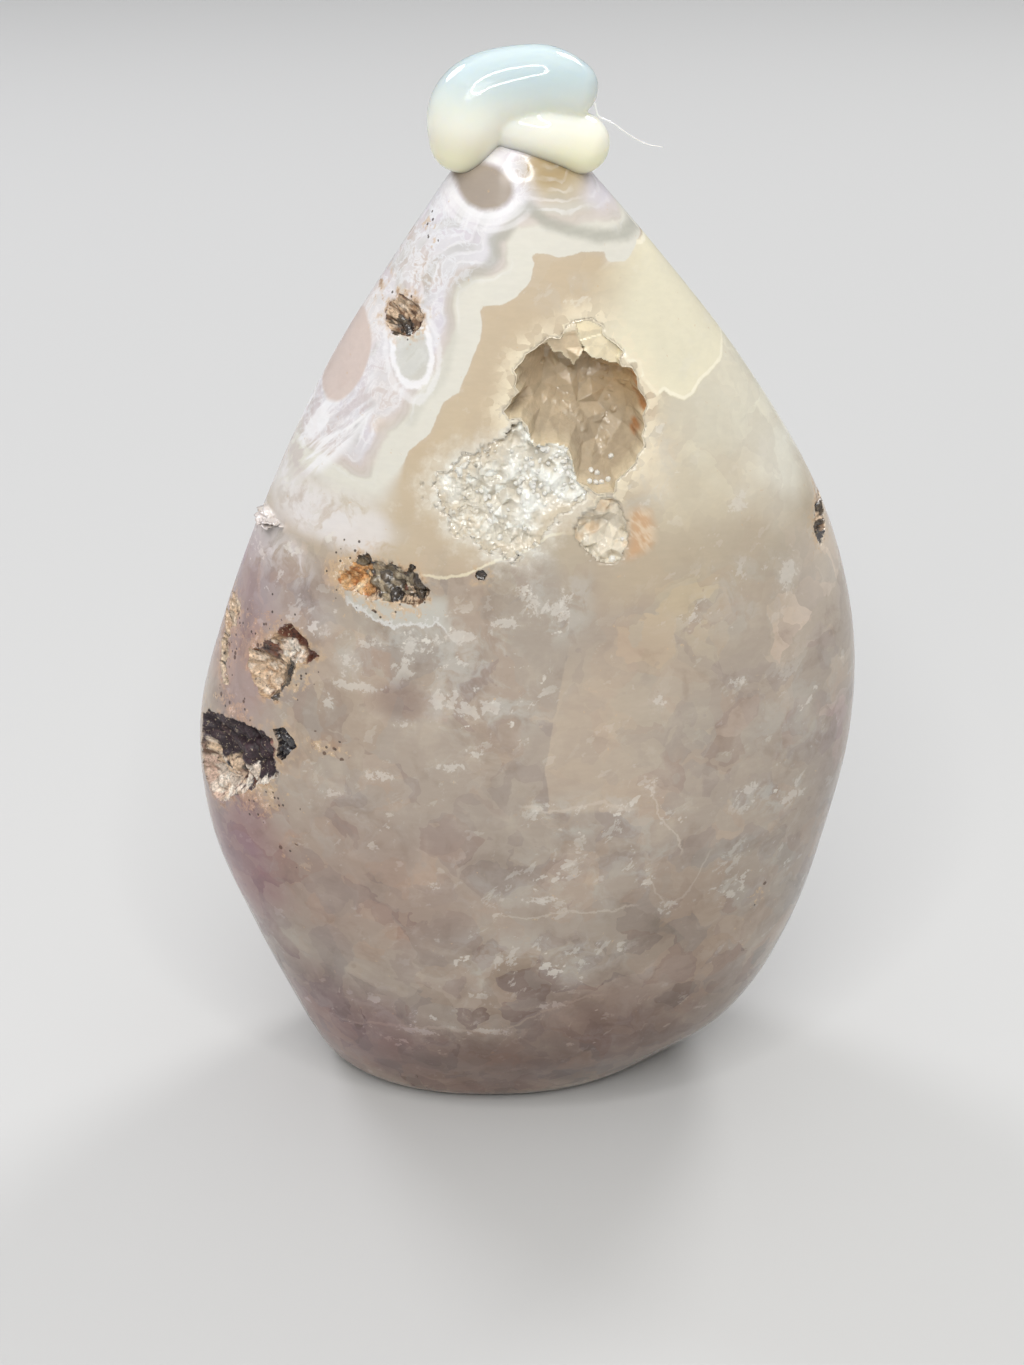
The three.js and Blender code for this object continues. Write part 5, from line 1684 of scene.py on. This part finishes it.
def build_druse(druse):
    """The crystal crust, ground flush with the polish where it reaches it."""
    front = np.where(druse.depth > OUTSIDE + 0.01, druse.depth, -STAND_OUT)
    crust = new_object("quartz_druse", *druse.solid(front, front + CRUST_BACK))
    outward(crust)
    cut(crust, new_object("cutter", *polished_mesh()), "INTERSECT")
    materials = (polished_agate(), quartz("pocket_quartz", 0.18, 0.0), quartz("icy_quartz", 0.05, 0.05),
                 quartz("clear_chunk", 0.05, 0.06))
    indices = dress(crust, [druse], materials, np.array([1, 1, 1, 2, 3]))
    crust.data.polygons.foreach_set("use_smooth", indices == SKIN)
    sharpen_rims(crust.data)
    points = new_object("clear_points", *clear_crystals(druse))
    outward(points)
    points.data.materials.append(clear_quartz())
    with bpy.context.temp_override(active_object=crust, selected_editable_objects=[crust, points]):
        bpy.ops.object.join()
    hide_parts("druzy_crust")
    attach(crust, "root")


# x, z, radius, height and lean in x and z of the larger clear crystals
CLEAR_CRYSTALS = [
    (-0.7, 83.3, 0.95, 0.8, 0.25, 0.15), (2.9, 80.6, 0.75, 0.9, -0.3, 0.4), (3.7, 79.5, 0.6, 0.9, 0.3, 0.3),
    (1.6, 81.2, 0.6, 0.9, 0.0, 0.6), (4.9, 78.6, 0.5, 0.8, 0.4, 0.2), (6.1, 78.1, 0.3, 0.4, 0, 0.3),
    (6.7, 77.7, 0.3, 0.4, 0.2, 0.2), (7.3, 77.6, 0.3, 0.4, 0, 0.4), (8.0, 77.8, 0.32, 0.4, -0.2, 0.4),
    (8.3, 79.4, 0.3, 0.5, 0, 0.2), (6.3, 78.5, 0.26, 0.4, 0.3, 0), (6.9, 78.2, 0.3, 0.4, 0, 0.2),
]
# outline, count, least and most radius of the small ones
CLEAR_HEAPS = [(ICY, 50, 0.14, 0.28), (ICY_BRIGHT, 70, 0.16, 0.4), (CHUNK, 6, 0.25, 0.5)]
CLEAR_SEED = 300
CLEAR_MARGIN = 0.06
LEAST_ROOM = 0.16
CRYSTAL_SIDES = 6


def crystal(foot, radius, height, axis, turn, chance):
    """A six-sided crystal with a pointed end: points and faces."""
    sides = CRYSTAL_SIDES
    axis = axis / np.linalg.norm(axis)
    side = np.cross(axis, [0.3, 0.1, 1.0])
    side /= np.linalg.norm(side)
    other = np.cross(axis, side)
    angles = turn + TAU * np.arange(sides) / sides + chance.uniform(-0.12, 0.12, sides)
    spokes = radius * (np.cos(angles)[:, None] * side + np.sin(angles)[:, None] * other)
    shoulder = height * chance.uniform(0.4, 0.7, sides)[:, None] * axis
    off_middle = chance.uniform(-1, 1) * side + chance.uniform(-1, 1) * other
    tip = foot + height * axis + 0.25 * radius * off_middle
    points = np.vstack([foot + spokes - 0.6 * radius * axis, foot + 0.94 * spokes + shoulder, tip])
    faces = [tuple(range(sides))]
    for i in range(sides):
        after = (i + 1) % sides
        faces.append((i, sides + i, sides + after, after))
        faces.append((sides + i, 2 * sides, sides + after))
    return points, faces


def stacked(parts):
    """Several meshes, as points and faces, in one."""
    points, faces, count = [], [], 0
    for part, part_faces in parts:
        points.append(part)
        faces.extend(tuple(v + count for v in face) for face in part_faces)
        count += len(part)
    return np.vstack(points), faces


def clear_crystals(druse):
    """The clear crystals that stand on the crust, all behind the polish."""
    chance = np.random.default_rng(CLEAR_SEED)
    rows = [list(row) for row in CLEAR_CRYSTALS]
    for outline, count, least, most in CLEAR_HEAPS:
        for cx, cz, radius, top in scattered(outline, count, (least, most), (1.6, 4.0), chance, 1.6):
            rows.append([cx, cz, radius, radius * top, chance.normal(0, 1.0), chance.normal(0.3, 1.0)])
    made = []
    for x, z, radius, height, lean_x, lean_z in rows:
        node = druse.nodes(np.array([[x, 0.0, z]]))[0][0]
        depth = druse.depth[node]
        upright = 1 / math.hypot(1, lean_x, lean_z)
        room = depth - CLEAR_MARGIN - 0.5 * radius * math.hypot(lean_x, lean_z)
        if room < LEAST_ROOM:
            continue
        foot = np.array([x, druse.skin[node] + depth, z])
        axis = np.array([lean_x, -1.0, lean_z])
        made.append(crystal(foot, min(radius, room), min(height, room / upright), axis,
                            chance.uniform(0, TAU), chance))
    return stacked(made)


def clear_quartz():
    shader = Shader("clear_quartz")
    shader.set_surface(Base_Color=CLEAR_WHITE, Roughness=0.03, IOR=QUARTZ_IOR,
                       Transmission_Weight=0.2, **POINT_GLOW)
    return shader.material


def quartz(name, roughness, clear):
    """Quartz crystal, coloured by its own paint."""
    shader = Shader(name)
    place = shader.place()
    frost = shader.span(shader.noise(place, 0.9, 2, 0.6), 0.35, 0.65, 0.93, 1.03)
    shader.set_surface(Base_Color=shader.shaded(shader.layer("paint"), frost), Roughness=roughness,
                       IOR=QUARTZ_IOR, Transmission_Weight=clear, **CRUST_GLOW)
    shader.bump(shader.noise(place, 0.5, 2, 0.6), 0.25, 0.2)
    return shader.material


def vug_surface(name, roughness, coat, pale):
    """The lumps, grains and walls of the small hollows, coloured by their own paint."""
    shader = Shader(name)
    place = shader.place()
    mottle = shader.noise(place, 0.3, 4, 0.6)
    colour = shader.shaded(shader.layer("paint"), shader.span(mottle, 0.3, 0.7, 0.62, 1.28))
    speck = shader.noise(shader.warped(place, 0.5, 0.5), 0.42, 3, 0.7)
    colour = shader.lay(colour, pale, shader.span(speck, 0.60, 0.66, 0, 0.6))
    colour = shader.lay(colour, LUMP_EDGE, shader.span(speck, 0.40, 0.34, 0, 0.75))
    shader.set_surface(Base_Color=colour, Roughness=roughness, Coat_Weight=coat, Coat_Roughness=0.05)
    shader.bump(mottle, 0.35, 0.15)
    return shader.material


def sharpen_rims(mesh):
    """Marks the edges between two materials sharp."""
    work = bmesh.new()
    work.from_mesh(mesh)
    for edge in work.edges:
        kinds = {face.material_index for face in edge.link_faces}
        if len(kinds) > 1:
            edge.smooth = False
    work.to_mesh(mesh)
    work.free()


# The glue: chains of x, y, z and radius
GLUE_LOBES = [
    [(-6.1, -1.4, 108.2, 3.15), (-5.3, -1.6, 110.65, 4.0), (-3.4, -1.4, 112.3, 3.9),
     (0.55, -1.4, 113.4, 3.4), (2.5, -1.4, 113.3, 3.1), (4.0, -1.4, 112.9, 2.65)],
    [(-1.2, -2.4, 109.6, 2.2), (1.6, -2.3, 109.0, 2.6), (3.8, -1.8, 108.3, 2.75), (5.0, -1.4, 107.8, 2.85)],
    [(-3.0, 1.0, 110.4, 3.9), (1.6, 1.0, 110.0, 3.2)],
]
GLUE_VOXEL = 0.17
GLUE_BALL_STEP = 0.25
GLUE_SMOOTHINGS = 14
STRAND = [(6.4, 0.0, 111.2), (6.6, 0.0, 110.4), (6.9, 0.0, 109.9), (8.2, 0.0, 109.3), (9.8, 0.0, 108.2),
          (11.4, 0.0, 107.4), (13.0, 0.0, 107.1)]
STRAND_RADIUS = 0.1
STRAND_TAPER = 0.6
STRAND_STEP = 0.3
STRAND_SIDES = 8
# heights in metres where the glue turns from one colour to the next
GLUE_LOW_TURN = (0.1055, 0.1105)
GLUE_HIGH_TURN = (0.1095, 0.1150)
GLUE_AMBER = srgb(255, 243, 208)
GLUE_PALE = srgb(240, 240, 228)
GLUE_BLUE = srgb(194, 209, 213)


def curve_through(rows, step):
    """Rows of numbers along a smooth curve through the given rows, about one step of x, y, z apart."""
    rows = np.array(rows, dtype=float)
    padded = np.vstack([2 * rows[0] - rows[1], rows, 2 * rows[-1] - rows[-2]])
    made = []
    for i in range(1, len(padded) - 2):
        before, start, end, after = padded[i - 1:i + 3]
        parts = max(2, round(np.linalg.norm(end[:3] - start[:3]) / step))
        for t in np.arange(parts) / parts:
            made.append(0.5 * (2 * start + (end - before) * t
                               + (2 * before - 5 * start + 4 * end - after) * t**2
                               + (3 * start - before - 3 * end + after) * t**3))
    made.append(rows[-1])
    return np.array(made)


def strand_mesh():
    """A thin tube along the strand, tapering to its end."""
    path = curve_through(STRAND, STRAND_STEP)
    angles = TAU * np.arange(STRAND_SIDES) / STRAND_SIDES
    rings = []
    for index, (place, tangent) in enumerate(zip(path, np.gradient(path, axis=0))):
        tangent = tangent / np.linalg.norm(tangent)
        across = np.cross(tangent, [0, 1, 0])
        across /= np.linalg.norm(across)
        up = np.cross(tangent, across)
        radius = STRAND_RADIUS * (1 - STRAND_TAPER * index / len(path))
        rings.append(place + radius * (np.cos(angles)[:, None] * across + np.sin(angles)[:, None] * up))
    return capped_tube(np.vstack(rings), STRAND_SIDES, [path[0], path[-1]])


def build_glue():
    ball, ball_faces = ball_template(4)
    balls = [(ball * radius + [x, y, z], ball_faces)
             for lobe in GLUE_LOBES for x, y, z, radius in curve_through(lobe, GLUE_BALL_STEP)]
    blob = new_object("blob", *stacked(balls))
    remesh = blob.modifiers.new("join", "REMESH")
    remesh.mode = "VOXEL"
    remesh.voxel_size = GLUE_VOXEL * MM
    soften = blob.modifiers.new("soften", "SMOOTH")
    soften.factor = 0.5
    soften.iterations = GLUE_SMOOTHINGS
    applied(blob)
    cut(blob, new_object("cutter", *polished_mesh()))
    body = places_of(blob.data.vertices, "co"), [tuple(polygon.vertices) for polygon in blob.data.polygons]
    bpy.data.objects.remove(blob)
    glue = new_object("hot_glue_blob", *stacked([body, strand_mesh()]))
    outward(glue)
    glue.data.polygons.foreach_set("use_smooth", np.ones(len(glue.data.polygons), dtype=bool))
    glue.data.materials.append(hot_glue())
    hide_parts("glue_tip_cap")
    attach(glue, "root")


def hot_glue():
    shader = Shader("hot_glue")
    place = shader.place()
    split = shader.node("ShaderNodeSeparateXYZ")
    shader.feed(split, 0, place)
    height = split.outputs["Z"]
    colour = shader.mix(shader.span(height, *GLUE_LOW_TURN), GLUE_AMBER, GLUE_PALE)
    colour = shader.mix(shader.span(height, *GLUE_HIGH_TURN), colour, GLUE_BLUE)
    shader.set_surface(Base_Color=colour, Roughness=0.06, IOR=GLUE_IOR, **GLUE_GLOW)
    return shader.material


add_camera()
add_studio()
add_floor()
vug_patches = [vug_patch(*row) for row in VUGS]
crust_patch = druse_patch()
build_stone(crust_patch, vug_patches)
build_druse(crust_patch)
build_glue()
